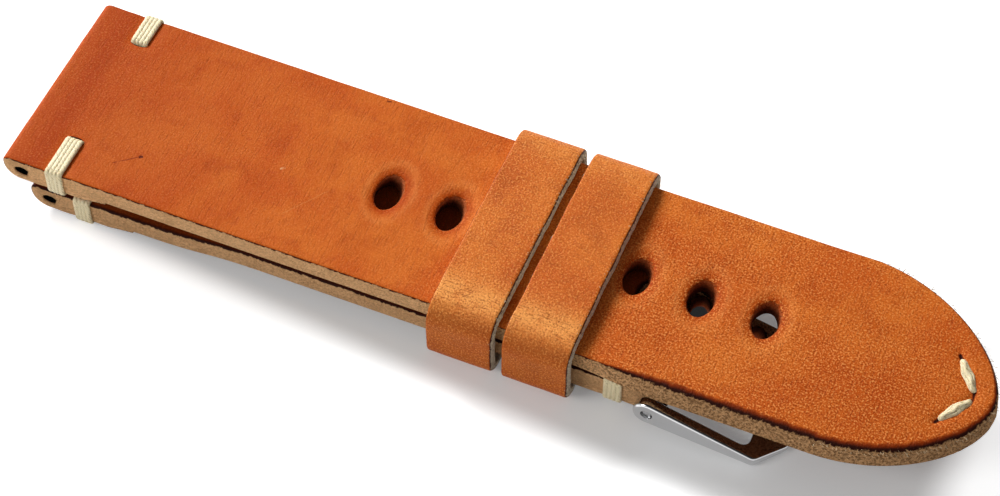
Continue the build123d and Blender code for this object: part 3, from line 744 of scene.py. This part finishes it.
def run_tree(name, tree, points, links, sizes, outs=None):
    """Runs a tree on a line through points, given in millimetres, and makes the result a plain mesh."""
    mesh = bpy.data.meshes.new(name)
    mesh.from_pydata((np.array(points) * MM).tolist(), links, [])
    if outs is not None:
        attribute = mesh.attributes.new("out", "FLOAT_VECTOR", "POINT")
        attribute.data.foreach_set("vector", np.array(outs, np.float32).ravel())
    source = new_object(name, mesh)
    modifier = source.modifiers.new(name, "NODES")
    modifier.node_group = tree
    for item in tree.interface.items_tree:
        if item.name in sizes:
            modifier[item.identifier] = sizes[item.name]
    made = bpy.data.meshes.new_from_object(source.evaluated_get(bpy.context.evaluated_depsgraph_get()))
    bpy.data.objects.remove(source)
    made.shade_smooth()
    return new_object(name, made)


# A fibre of raw hide: dull and straw-coloured, browner in places
hide_fibre, tree = new_tree("raw_hide_fibre")
place = add_node(tree, "ShaderNodeTexCoord", {}, {}, "Object")
tint = add_node(tree, "ShaderNodeTexNoise", {}, {"Vector": place, "Scale": 1 / (0.8 * MM)})
tint = add_node(tree, "ShaderNodeMix", {"data_type": "RGBA"}, (tint, linear("#8C6A45"), linear("#F3DDB6")))
skin = add_node(tree, "ShaderNodeBsdfPrincipled", {}, {"Base Color": tint, "Roughness": 0.8})
add_node(tree, "ShaderNodeOutputMaterial", {}, {"Surface": skin})


def loose_fibres(name, points, outs, length, body, seed):
    """Scatters fibres along a line of points and lets them ride on a body."""
    links = [(n, n + 1) for n in range(len(points) - 1)]
    fibres = run_tree(name + "_loose_fibres", scattered_fibres, points, links, {
        "Spacing": fibre_spacing * MM, "Length": length * MM, "Thickness": fibre_thickness * MM,
        "Seed": seed, "Fibre": hide_fibre,
    }, outs)
    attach(fibres, body)


round_tip = long_outline[:, 0] > long_end - tip_length
tip_out = -inward(long_outline)[round_tip]
tip_rim = long_outline[round_tip] + tip_out * lean_start * lean_of(long_outline[round_tip])[:, None]
tip_points = np.column_stack([x_of(tip_rim), tip_rim[:, 1], np.full(len(tip_rim), grain_z - fibre_bed)])
loose_fibres("tip", tip_points, np.column_stack([tip_out, 0 * tip_rim[:, 0]]), tip_fibre, "long_half",
             4)

# Short half: the same leather, folded back at its lug end and again round the buckle bar, where a slot
# lets the tongue through. It bends up a little behind its lug end, where it comes to lie under the long
# half. Both folds are glued and closed with bands of thread.
short_low, short_high = [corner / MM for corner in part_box("short_strap")]
lug_stagger = 2.9
short_lug_x = long_low.x + lug_stagger
short_z = short_high.z
short_fold = 3.2
short_lug_z = short_low.z + short_fold
tube_low, tube_high = [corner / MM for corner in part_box("bar_tube")]
bar_x = (tube_low.x + tube_high.x) / 2
bar_z = (tube_low.z + tube_high.z) / 2
tube_room = 0.9
bend_start, bend_length = 13.5, 15.0
bend_shares = (0.45, 0.55)
buckle_tab = 16.2
tongue_slot_half = 2.45
tongue_slot_back = 6.0
buckle_stitch_x = bar_x - 4.3
short_stitch_x = short_lug_x + 6.4
short_reach = 4.5

stretches, behind, meet_point = lug_fold(short_lug_x, short_lug_z, short_fold)
bend_x = short_lug_x + bend_start
bend_end_x = bend_x + bend_length
steer_1, steer_2 = [bend_x + share * bend_length for share in bend_shares]
bend = steered((
    (bend_x, short_lug_z), (steer_2, short_lug_z), (steer_1, short_z), (bend_end_x, short_z),
), 60)
seam_z = short_z - leather
fold_z = short_z - short_fold
centre = (bar_x, bar_z)
room = (tube_room, tube_room)
meet = 180 - math.degrees(math.asin((seam_z - bar_z) / tube_room))
fold_meet = tuple(arc(centre, room, meet, meet)[0])
bar_nose = short_fold / 2
tab_x = bar_x - buckle_tab
stretches += [
    ([behind, (bend_x, short_lug_z)], [meet_point, (bend_x, short_lug_z - leather)]),
    (bend, bend - (0, leather)),
    ([(bend_end_x, short_z), (bar_x - bar_nose, short_z)], [(bend_end_x, seam_z), fold_meet]),
    ([(bar_x - bar_nose, short_z), (bar_x, short_z)], arc(centre, room, meet, 90)),
    (arc(centre, (bar_nose, bar_nose), 90, -90), arc(centre, room, 90, -90)),
    ([(bar_x, fold_z), (bar_x - bar_nose, fold_z)], arc(centre, room, -90, meet - 360)),
    ([(bar_x - bar_nose, fold_z), (tab_x + skive, fold_z)], [fold_meet, (tab_x + skive, seam_z)]),
    ([(tab_x + skive, fold_z), (tab_x, seam_z - feather)], [(tab_x + skive, seam_z), (tab_x, seam_z)]),
]
short_view = side_view(stretches)
short_end = short_view[0][-1]
side_rows = rows_along(short_view, edge_step)
side_x = np.interp(side_rows, short_view[0], short_view[1][:, 0])
far_side = np.column_stack([side_rows, half_width(side_x)])
lug_half_width, tab_half_width = half_width(side_x[0]), half_width(side_x[-1])
across_end = np.linspace(-1, 1, end_count)[1:-1]
short_outline = np.concatenate([
    far_side * (1, -1),
    np.column_stack([np.full(end_count - 2, short_end), tab_half_width * across_end]),
    far_side[::-1],
    np.column_stack([np.zeros(end_count - 2), -lug_half_width * across_end]),
])
slot_start = place_along(short_view, bar_x - tongue_slot_back, short_z) + tongue_slot_half
slot_finish = place_along(short_view, bar_x - tongue_slot_back, fold_z) - tongue_slot_half
side_us = np.linspace(slot_start, slot_finish, 60)[1:-1]
round_slot = (tongue_slot_half, tongue_slot_half)
tongue_slot = np.concatenate([
    arc((slot_start, 0), round_slot, 270, 90),
    np.column_stack([side_us, np.full(len(side_us), tongue_slot_half)]),
    arc((slot_finish, 0), round_slot, 90, -90),
    np.column_stack([side_us[::-1], np.full(len(side_us), -tongue_slot_half)]),
])
short_slot_places, slots = band_slots(short_view, (
    (short_stitch_x, short_lug_z), (short_stitch_x, short_low.z), (buckle_stitch_x, short_z),
    (buckle_stitch_x, fold_z),
), {-1: short_reach, 1: short_reach})
# The tongue slot's cut is painted somewhat dark, as shade
tongue_rounding, tongue_dark = 0.25, 0.3
short_holes = [(tongue_slot, tongue_rounding, tongue_dark, 0)] + slots


def short_relief(points):
    """How deep the grain of the short half is pressed in."""
    return uneven(points, 11.0) + pressed_by_bands(points, short_slot_places)


def short_finish(points):
    """The same values as the long half's. Its edges are burnished further in and it is dyed deeper, which
    paints the shade that it lies in under the long half, and its bore and flesh side are darkened as
    painted shade.
    """
    values = np.tile((0.35, 0.0, 0.7, 0.3, 0.0), (len(points), 1))
    in_fold = in_bore(short_view, points, (short_lug_x + nose, short_lug_z - bore_depth))
    values[:, 4] = np.maximum(in_fold, flesh_painted_shade)
    return values


short_edge = (short_outline, 0.3, 0.0, 0)
short_piece = leather_piece("short_half", short_view, short_edge, short_holes, short_relief, short_finish,
                            across_strap, 12.0)
# The short half's tones are darker than the long half's, as painted shade for where it lies under the long
# half
short_tones_painted_shade = ("#8A3A10", "#984616", "#742A06", "#782C0C", "#B06A36", "#58220A") + strap_tones[6:]
inner_leather_painted_shade = tanned_leather("vegetable_tanned_inner_leather", short_tones_painted_shade, 0.06)
short_piece.data.materials.append(inner_leather_painted_shade)
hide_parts("short_strap")
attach(short_piece, "short_half")

# Bands of waxed thread: each closes a fold at one side of the strap, in four turns of two-ply linen
# thread laid side by side from a slot in the leather round the cut edge. The wax keeps them flat.
thread_breadth, thread_height = 0.72, 0.43
thread_pitch = 0.46
thread_turns = 4
thread_lay = 1000.0  # the length in which the oval turns once: on a band it hardly turns
strand_step = 0.16
band_corner, seam_corner = 0.32, 0.16
band_unevenness = 0.05


def strand_tree():
    """Lays thread along paths: each path gets an oval section that turns once in the lay, and the paths
    are repeated across the band."""
    tree, given = new_group("laid_strands", {
        "Paths": "Geometry", "Breadth": "Float", "Height": "Float", "Lay": "Float", "Turns": "Int",
        "Pitch": "Float", "Unevenness": "Float", "Thread": "Material",
    }, "Band")
    line = add_node(tree, "GeometryNodeMeshToCurve", {}, {"Mesh": given["Paths"]})
    line = add_node(tree, "GeometryNodeResampleCurve", {"mode": "LENGTH"}, {
        "Curve": line, "Length": strand_step * MM,
    })
    gone = add_node(tree, "GeometryNodeSplineParameter", {}, {}, "Length")
    turns = add_node(tree, "ShaderNodeMath", {"operation": "DIVIDE"}, (gone, given["Lay"]))
    angle = add_node(tree, "ShaderNodeMath", {"operation": "MULTIPLY"}, (turns, math.tau))
    line = add_node(tree, "GeometryNodeSetCurveTilt", {}, {"Curve": line, "Tilt": angle})
    line = add_node(tree, "GeometryNodeStoreNamedAttribute", {"data_type": "FLOAT"}, {
        "Geometry": line, "Name": "gone", "Value": gone,
    })
    circle = add_node(tree, "GeometryNodeCurvePrimitiveCircle", {}, {"Resolution": 12, "Radius": 0.5})
    way = add_node(tree, "GeometryNodeSplineParameter", {}, {}, "Factor")
    circle = add_node(tree, "GeometryNodeStoreNamedAttribute", {"data_type": "FLOAT"}, {
        "Geometry": circle, "Name": "way", "Value": way,
    })
    oval = add_node(tree, "ShaderNodeCombineXYZ", {}, (given["Breadth"], given["Height"], 1.0))
    section = add_node(tree, "GeometryNodeTransform", {}, {"Geometry": circle, "Scale": oval})
    strand = add_node(tree, "GeometryNodeCurveToMesh", {}, {
        "Curve": line, "Profile Curve": section, "Fill Caps": True,
    })
    pitch = add_node(tree, "ShaderNodeCombineXYZ", {}, {"X": given["Pitch"]})
    spots = add_node(tree, "GeometryNodeMeshLine", {}, {"Count": given["Turns"], "Offset": pitch})
    band = add_node(tree, "GeometryNodeInstanceOnPoints", {}, {"Points": spots, "Instance": strand})
    band = add_node(tree, "GeometryNodeRealizeInstances", {}, {"Geometry": band})
    lumps = add_node(tree, "ShaderNodeTexNoise", {}, {"Scale": 1 / (0.9 * MM), "Detail": 2.0}, "Color")
    sway = add_node(tree, "ShaderNodeVectorMath", {"operation": "SUBTRACT"}, (lumps, (0.5, 0.5, 0.5)))
    sway = add_node(tree, "ShaderNodeVectorMath", {"operation": "SCALE"}, (sway, given["Unevenness"]))
    band = add_node(tree, "GeometryNodeSetPosition", {}, {"Geometry": band, "Offset": sway})
    band = add_node(tree, "GeometryNodeSetMaterial", {}, {"Geometry": band, "Material": given["Thread"]})
    add_node(tree, "NodeGroupOutput", {}, {"Band": band})
    return tree


laid_strands = strand_tree()


def lay_thread(name, paths, **sizes):
    """Lays thread along closed paths, given in millimetres, and makes the result a plain mesh."""
    points, links = [], []
    for path in paths:
        first = len(points)
        points += [tuple(point) for point in path]
        links += [(n, n + 1 if n + 1 < len(points) else first) for n in range(first, len(points))]
    return run_tree(name, laid_strands, points, links, sizes)


def waxed_linen(name, cream, shade):
    """Waxed linen thread: the plies wind round each other, and the thread is darker in fine specks and
    along lines that follow the plies.
    """
    material, tree = new_tree(name)
    gone = add_node(tree, "ShaderNodeAttribute", {"attribute_name": "gone"}, {}, "Fac")
    way = add_node(tree, "ShaderNodeAttribute", {"attribute_name": "way"}, {}, "Fac")
    spin = add_node(tree, "ShaderNodeMath", {"operation": "MULTIPLY"}, (gone, 1 / (0.5 * MM)))
    lay = add_node(tree, "ShaderNodeMath", {"operation": "MULTIPLY_ADD"}, (way, 5.0, spin))
    streak = add_node(tree, "ShaderNodeMath", {"operation": "MULTIPLY"}, (lay, math.tau))
    streak = add_node(tree, "ShaderNodeMath", {"operation": "SINE"}, {"Value": streak})
    place = add_node(tree, "ShaderNodeTexCoord", {}, {}, "Object")
    specks = add_node(tree, "ShaderNodeTexNoise", {}, {
        "Vector": place, "Scale": 1 / (0.25 * MM), "Detail": 4.0,
    })
    mess = add_node(tree, "ShaderNodeMath", {"operation": "MULTIPLY_ADD"}, (streak, 0.12, specks))
    darker_specks = add_node(tree, "ShaderNodeMapRange", smooth, (mess, 0.5, 0.26))
    colour = add_node(tree, "ShaderNodeMix", {"data_type": "RGBA"}, (darker_specks, linear(cream), linear(shade)))
    bump = add_node(tree, "ShaderNodeBump", {}, {"Strength": 0.6, "Distance": 0.05 * MM, "Height": mess})
    skin = add_node(tree, "ShaderNodeBsdfPrincipled", {}, {
        "Base Color": colour, "Roughness": 0.55, "Normal": bump, "Subsurface Weight": 0.12,
        "Subsurface Radius": (0.3 * MM, 0.2 * MM, 0.12 * MM), "Subsurface Scale": 1.0,
    })
    add_node(tree, "ShaderNodeOutputMaterial", {}, {"Surface": skin})
    return material


thread_cream = waxed_linen("waxed_linen_thread", "#EFDEB5", "#C0AC7C")


def loop_path(x, y_ends, z_ends, radius):
    """A loop across the strap at x, with rounded corners. It starts at the top of the first side."""
    corners = []
    for side, level, start in ((0, 1, 90), (0, 0, 180), (1, 0, 270), (1, 1, 0)):
        centre = (y_ends[side] + (1 - 2 * side) * radius, z_ends[level] + (1 - 2 * level) * radius)
        corners.append(arc(centre, (radius, radius), start, start + 90))
    loop = np.concatenate(corners)
    return np.column_stack([np.full(len(loop), x), loop])


for stitch, body in (("long_lug_stitch", "long_half"), ("short_lug_stitch", "short_half"),
                     ("buckle_stitch", "short_half")):
    for side in ("near", "far"):
        node = f"{stitch}_{side}"
        low, high = [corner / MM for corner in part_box(node)]
        inset = thread_height / 2
        first_x = (low.x + high.x - (thread_turns - 1) * thread_pitch) / 2
        path = loop_path(first_x, (low.y + inset, high.y - inset), (low.z + inset, high.z - inset),
                         band_corner)
        band = lay_thread(node + "_thread", [path], Breadth=thread_breadth * MM, Height=thread_height * MM,
                          Lay=thread_lay * MM, Turns=thread_turns, Pitch=thread_pitch * MM,
                          Unevenness=band_unevenness * MM, Thread=thread_cream)
        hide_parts(node)
        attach(band, body)

# Stitches at the tip: three thicknesses of the same thread, drawn through two holes each so that they
# swell to a lens on the grain and make a V that points to the tip. They run back on the flesh side.
tip_strand = 0.78
tip_strand_high = 0.78 * tip_strand
tip_unevenness = 0.12
tip_lay = 4.0
tip_swell, under_swell = 0.3, 0.26  # how far the outer strands stand off to the sides, over and under
tip_dip, tip_shoulder = 0.2, 0.13  # how far the ends go down, and the outer strands all along
fore_gap, aft_gap = 0.3, 0.75
for side, name in ((-1, "tip_stitch_near"), (1, "tip_stitch_far")):
    fore = np.array([long_high.x - tip_fore[0], side * tip_fore[1] - tip_skew])
    aft = np.array([long_high.x - tip_aft[0], side * tip_aft[1] - tip_skew])
    heading = (aft - fore) / np.linalg.norm(aft - fore)
    sideways = np.array([-heading[1], heading[0]])
    over_reach = np.linalg.norm(aft - fore) - fore_gap - aft_gap
    low, high = [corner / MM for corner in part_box(name)]
    inset = (tip_strand_high + tip_unevenness) / 2
    paths = []
    for strand in range(3):
        way = np.linspace(0, 1, 40)
        swell = np.sin(math.pi * way) ** 0.6
        over_z = high.z - inset - tip_dip * (1 - swell) - tip_shoulder * abs(strand - 1)
        over = np.column_stack([fore + np.outer(fore_gap + way * over_reach, heading)
                                + np.outer((strand - 1) * tip_swell * swell, sideways), over_z])
        way = np.linspace(1, 0, 20)
        swell = under_swell * (strand - 1) * np.sin(math.pi * way)
        under = np.column_stack([fore + np.outer(fore_gap + way * over_reach, heading)
                                 + np.outer(swell, sideways), np.full(20, low.z + inset)])
        paths.append(np.concatenate([over, under]))
    stitch = lay_thread(name + "_thread", paths, Breadth=tip_strand * MM, Height=tip_strand_high * MM,
                        Lay=tip_lay * MM, Turns=1, Pitch=0.0, Unevenness=tip_unevenness * MM,
                        Thread=thread_cream)
    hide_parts(name)
    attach(stitch, "long_half")

# Sprung bar: a drawn stainless tube, crimped at its ends over two turned pins that a coil of spring
# wire pushes apart. It is the pin of the buckle's hinge, inside the fold of the short half.
weld_gap = 0.0005


def joined_copy(node, name, sharp):
    """A copy of a CAD node with its loose triangles joined, smooth but for edges of sharp degrees."""
    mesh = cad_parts[node].data.copy()
    mesh.name = name
    welded = bmesh.new()
    welded.from_mesh(mesh)
    bmesh.ops.remove_doubles(welded, verts=welded.verts, dist=weld_gap * MM)
    welded.to_mesh(mesh)
    welded.free()
    mesh.materials.clear()
    for title in ("custom_normal", "sharp_face", "sharp_edge"):
        if title in mesh.attributes:
            mesh.attributes.remove(mesh.attributes[title])
    mesh.shade_smooth()
    mesh.set_sharp_from_angle(angle=math.radians(sharp))
    return new_object(name, mesh)


def steel(name, tone, roughness, brushed, depth):
    """Stainless steel: the finish is a base roughness, smeared a little, with fine lines left by the
    wheel or the die. Brushed says how long and how fine they are along each axis, and depth how deep."""
    material, tree = new_tree(name)
    place = add_node(tree, "ShaderNodeTexCoord", {}, {}, "Object")
    drawn = add_node(tree, "ShaderNodeMapping", {}, {
        "Vector": place, "Scale": [1 / (size * MM) for size in brushed],
    })
    lines = add_node(tree, "ShaderNodeTexNoise", {}, {"Vector": drawn, "Scale": 1.0, "Detail": 4.0})
    smears = add_node(tree, "ShaderNodeTexNoise", {}, {
        "Vector": place, "Scale": 1 / (4 * MM), "Detail": 3.0,
    })
    rough = add_node(tree, "ShaderNodeMapRange", {}, {
        "Value": smears, "From Min": 0.3, "From Max": 0.7,
        "To Min": roughness * 0.7, "To Max": roughness * 1.4,
    })
    bump = add_node(tree, "ShaderNodeBump", {}, {"Strength": 0.3, "Distance": depth * MM, "Height": lines})
    skin = add_node(tree, "ShaderNodeBsdfPrincipled", {}, {
        "Base Color": linear(tone), "Metallic": 1.0, "Roughness": rough, "Normal": bump,
    })
    add_node(tree, "ShaderNodeOutputMaterial", {}, {"Surface": skin})
    return material


# The buckle is a bent and drilled frame and a flat tongue curled round the bar, polished on a wheel. The
# bar is left as it was drawn.
polished_steel = steel("polished_stainless_steel", "#D2D2D3", 0.07, (3.0, 0.25, 0.25), 0.002)
bar_steel = steel("drawn_stainless_steel", "#BDBDBE", 0.26, (0.2, 4.0, 0.2), 0.006)
for node, body, metal, slot, sharp in (
    ("bar_tube", "short_half", bar_steel, "bar_steel", 35),
    ("bar_pin_near", "pin_near", bar_steel, "bar_steel", 35),
    ("bar_pin_far", "pin_far", bar_steel, "bar_steel", 35),
    ("buckle_tongue", "tongue", polished_steel, "polished_steel", 28),
    ("buckle_frame", "frame", polished_steel, "polished_steel", 28),
):
    piece = joined_copy(node, node + "_metal", sharp)
    piece.data.materials.append(metal)
    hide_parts(node)
    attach(piece, body)

# The coil between the pins is one wire. It is made as two halves that meet in the middle.
coil_low, coil_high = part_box("bar_spring")
coil_middle = (coil_low + coil_high) / 2
for side, name in ((-1, "near"), (1, "far")):
    coil = joined_copy("bar_spring", f"bar_spring_{name}_metal", 70)
    halved = bmesh.new()
    halved.from_mesh(coil.data)
    cut = bmesh.ops.bisect_plane(halved, geom=halved.verts[:] + halved.edges[:] + halved.faces[:],
                                 plane_co=coil_middle, plane_no=(0, side, 0), clear_inner=True)
    rim = [part for part in cut["geom_cut"] if isinstance(part, bmesh.types.BMEdge)]
    bmesh.ops.holes_fill(halved, edges=rim)
    halved.to_mesh(coil.data)
    halved.free()
    coil.data.materials.append(bar_steel)
    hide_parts("bar_spring")
    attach(coil, "short_half")
    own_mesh(coil)

# Keepers: two loops of the same hide, split thinner, cut across the hide and wrapped round both halves.
# Their ends meet underneath. The free one slides, and the fixed one is sewn to the buckle's tab.
keeper_leather = 1.2
keeper_corner = 2.5
keeper_inner_corner = 1.25
keeper_bow, keeper_flat = 0.3, 4.5  # how far the top's ends go down, past half the flat between them
keeper_slope = 0.26  # how far the foot of the right cut stands out
keeper_wander = 0.06  # of the knife from a straight cut
keeper_fray, keeper_step = 0.09, 0.3
end_points = 14
near_bend_y, far_bend_y = 3.4, 2.0  # in from the keeper's sides
butt = 0.06
seam_thread, seam_pitch, seam_lay = 0.35, 1.9, 1.5
groove_half, groove_depth = 0.24, 0.3
keeper_tones = ("#CA5E18", "#DA7426", "#AA4A0C", "#A84812", "#FFB05C", "#8A3C0A", "#44200F", "#FFF0DA",
                "#D8C2A4", "#86705A")
keeper_tan = tanned_leather("vegetable_tanned_keeper_leather", keeper_tones, 0.15)


def keeper_view(low, high):
    """A keeper from its end, from the butt joint underneath up the far side, over and down again. Its top
    bows a little, because leather doesn't lie flat right up to a bend."""
    stretches = []
    ends = [(butt, low.z), (butt, low.z + keeper_leather)]
    for y_sign, z_sign, start in ((1, -1, 270), (1, 1, 0), (-1, 1, 90), (-1, -1, 180)):
        corners = []
        for inset, radius in ((0, keeper_corner), (keeper_leather, keeper_inner_corner)):
            y = y_sign * (high.y - inset - radius)
            z = high.z - inset - radius if z_sign > 0 else low.z + inset + radius
            corners.append(arc((y, z), (radius, radius), start, start + 90))
        stretches.append([[end, tuple(corner[0])] for end, corner in zip(ends, corners)])
        stretches.append(corners)
        ends = [tuple(corner[-1]) for corner in corners]
    last = [(-butt, low.z), (-butt, low.z + keeper_leather)]
    stretches.append([[end, finish] for end, finish in zip(ends, last)])
    along, grain, flesh = side_view(stretches)
    for line in (grain, flesh):
        upper = np.clip((line[:, 1] - low.z) / (high.z - low.z) * 2 - 1, 0, 1)
        past_flat = np.maximum(np.abs(line[:, 0]) - keeper_flat, 0) / (high.y - keeper_flat)
        line[:, 1] -= keeper_bow * upper * past_flat ** 2
    return along, grain, flesh


def round_strap(side, across):
    """Puts a keeper's end view, y and z, in the room."""
    return np.column_stack([across, side[:, 0], side[:, 1]])


for seed, name, body in ((21, "free_keeper", "free_loop"), (31, "fixed_keeper", "short_half")):
    low, high = [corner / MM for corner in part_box(name)]
    view = keeper_view(low, high)
    rows = rows_along(view, edge_step)
    ends = np.linspace(low.x + keeper_wander, high.x - keeper_wander, end_points + 2)[1:-1]
    left_cut, right_cut = [keeper_wander * (1 + waves(np.column_stack([rows, 0 * rows]), size, seed + 5))
                           for size in (4.0, 3.0)]
    keeper_outline = np.concatenate([
        np.column_stack([rows, low.x + left_cut]),
        np.column_stack([np.full(end_points, rows[-1]), ends]),
        np.column_stack([rows[::-1], high.x - right_cut[::-1]]),
        np.column_stack([np.full(end_points, rows[0]), ends[::-1]]),
    ])
    near_bend = place_along(view, low.y + near_bend_y, high.z)
    far_bend = place_along(view, high.y - far_bend_y, high.z)
    seam_low, seam_high = [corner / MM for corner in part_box(name + "_seam")]
    seam_xs = [seam_low.x + seam_thread / 2 + seam_pitch * number for number in range(3)]

    def keeper_relief(points):
        """How deep the grain of a keeper is pressed in: its three stitches lie in grooves underneath."""
        pressed = 0.05 * waves(points, 6.0, seed) + 0.015 * waves(points, 1.8, seed + 3)
        from_joint = np.minimum(points[:, 0], view[0][-1] - points[:, 0])
        for x in seam_xs:
            groove = np.exp(-((points[:, 1] - x) / groove_half) ** 4) * (from_joint < seam_high.y + 0.1)
            pressed = np.maximum(pressed, groove_depth * groove)
        return pressed

    def keeper_finish(points):
        """The same values as the long half's: the wax is pale where the keeper bends, and on the near bend
        that paleness is also a painted highlight, with bolder pebbles. The near side and the near half of
        the underside are deeper in tone.
        """
        past = points[:, 0] - near_bend
        bent = fading(past, 2.0) + fading(points[:, 0] - far_bend, 2.0, 0.3)
        near_side_deeper = 0.55 * np.clip((past - 1.2) / 2, 0, 1)
        coarse = 0.65 + 0.45 * np.minimum(bent, 1)
        return np.column_stack([np.full(len(points), 0.06), 0.7 * bent, near_side_deeper, coarse, 0 * bent])

    knife_slope = np.repeat((0, keeper_slope, 0), (len(rows) + end_points, len(rows), end_points))
    keeper = leather_piece(name + "_leather", view, (keeper_outline, 0.2, 0.0, knife_slope), [],
                           keeper_relief, keeper_finish, round_strap, seed, keeper_fray, keeper_step)
    keeper.data.materials.append(keeper_tan)
    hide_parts(name)
    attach(keeper, body)

    inset = seam_thread / 2
    path = loop_path(seam_xs[0], (seam_low.y + inset, seam_high.y - inset),
                     (seam_low.z + inset, seam_high.z - inset), seam_corner)
    seam = lay_thread(name + "_seam_thread", [path], Breadth=1.1 * seam_thread * MM,
                      Height=0.95 * seam_thread * MM, Lay=seam_lay * MM, Turns=len(seam_xs),
                      Pitch=seam_pitch * MM, Unevenness=band_unevenness * MM, Thread=thread_cream)
    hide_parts(name + "_seam")
    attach(seam, body)

    # The fibres grow from just inside the right cut, all round but for the underside
    upper = view[1][:, 1] > low.z + 1.0
    edge_line = view[1][upper][::6] * 0.985
    edge_xs = np.interp(view[0][upper][::6], rows, high.x - right_cut) - 0.1
    loose_fibres(name, round_strap(edge_line, edge_xs), np.tile((1.0, 0, 0.2), (len(edge_xs), 1)),
                 keeper_fibre, body, seed)

# Studio: a sheet of white paper, a soft window behind the strap's left end, a weaker one in front, and
# the camera. The paper looks white to the camera away from the strap, and keeps the shadow beside it.
floor_gap = 0.03
floor_z = cad_box[0].z - floor_gap * MM
lift_least, lift_most = 0.16, 0.7
paper_low, paper_high = -0.6, 0.7
floor_mesh = bpy.data.meshes.new("floor")
floor_mesh.from_pydata([
    (paper_low, paper_low, floor_z), (paper_high, paper_low, floor_z),
    (paper_high, paper_high, floor_z), (paper_low, paper_high, floor_z),
], [], [(0, 1, 2, 3)])
floor = new_object("floor", floor_mesh)
paper, tree = new_tree("matt_white_paper")
matt = add_node(tree, "ShaderNodeBsdfDiffuse", {}, {"Color": linear("#EAEAEA")})
place = add_node(tree, "ShaderNodeTexCoord", {}, {}, "Object")
# Painted light on the paper: it glows for camera and glossy rays, least under and close beside the strap
# and most further off, so the shadow beside the strap keeps its depth while the open paper shows white
lift = 0.0
for away, start, end in (
    ((0.09, 1, 0), -9.5, -13.5), ((0, 1, 0), 9.0, 13.0), ((1, 0, 0), 101.0, 107.0), ((1, 0, 0), -3.0, -8.0),
):
    far = add_node(tree, "ShaderNodeVectorMath", {"operation": "DOT_PRODUCT"}, (place, away), "Value")
    far = add_node(tree, "ShaderNodeMapRange", smooth, {
        "Value": far, "From Min": start * MM, "From Max": end * MM, "To Min": lift_least,
        "To Max": lift_most,
    })
    lift = add_node(tree, "ShaderNodeMath", {"operation": "MAXIMUM"}, (lift, far))
rays = [add_node(tree, "ShaderNodeLightPath", {}, {}, f"Is {ray} Ray") for ray in ("Camera", "Glossy")]
direct = add_node(tree, "ShaderNodeMath", {"operation": "MAXIMUM"}, rays)
lift = add_node(tree, "ShaderNodeMath", {"operation": "MULTIPLY"}, (lift, direct))
glow = add_node(tree, "ShaderNodeEmission", {}, {"Color": linear("#FFFFFF"), "Strength": lift})
lit_paper = add_node(tree, "ShaderNodeAddShader", {}, (matt, glow))
add_node(tree, "ShaderNodeOutputMaterial", {}, {"Surface": lit_paper})
floor_mesh.materials.append(paper)

scene = bpy.context.scene
scene.view_settings.view_transform = "Standard"
target = Vector((52.3927, -2.3494, 1.65)) * MM
camera_reach = 276.105
azimuth, elevation = math.radians(22.8535), math.radians(54.0209)
back = Vector((math.sin(azimuth) * math.cos(elevation), -math.cos(azimuth) * math.cos(elevation),
               math.sin(elevation)))
camera_data = bpy.data.cameras.new("camera")
camera_data.lens = 93.94
camera_data.sensor_width = 36.0
camera_data.clip_start = 0.01
camera = new_object("camera", camera_data)
camera.location = target + back * camera_reach * MM
camera.rotation_euler = back.to_track_quat("Z", "Y").to_euler()
scene.camera = camera

for name, spot, size, watts in (
    ("window", (-0.6, 0.42, 0.47), 0.3, 9.0),
    ("fill", (-0.45, -0.5, 0.45), 0.36, 2.3),
):
    lamp_data = bpy.data.lights.new(name, "AREA")
    lamp_data.shape = "SQUARE"
    lamp_data.size = size
    lamp_data.energy = watts
    lamp = new_object(name, lamp_data)
    lamp.location = Vector(spot) + target
    lamp.rotation_euler = Vector(spot).to_track_quat("Z", "Y").to_euler()
world = bpy.data.worlds.new("studio")
world.use_nodes = True
tree = world.node_tree
tree.nodes.clear()
# The room is pale near the floor and dark overhead, which the steel shows
heading = add_node(tree, "ShaderNodeTexCoord", {}, {}, "Generated")
upwards = add_node(tree, "ShaderNodeSeparateXYZ", {}, {"Vector": heading}, "Z")
walls = add_node(tree, "ShaderNodeMapRange", smooth, {
    "Value": upwards, "From Min": 0.3, "From Max": 0.6, "To Min": 0.9, "To Max": 0.03,
})
sky = add_node(tree, "ShaderNodeBackground", {}, {"Color": linear("#FFFFFF"), "Strength": 0.2})
for ray, strength in (("Is Glossy Ray", walls), ("Is Camera Ray", 1.0)):
    seen = add_node(tree, "ShaderNodeLightPath", {}, {}, ray)
    shown = add_node(tree, "ShaderNodeBackground", {}, {"Color": linear("#FFFFFF"), "Strength": strength})
    sky = add_node(tree, "ShaderNodeMixShader", {}, {"Fac": seen, "Shader": sky, "Shader_001": shown})
add_node(tree, "ShaderNodeOutputWorld", {}, {"Surface": sky})
scene.world = world
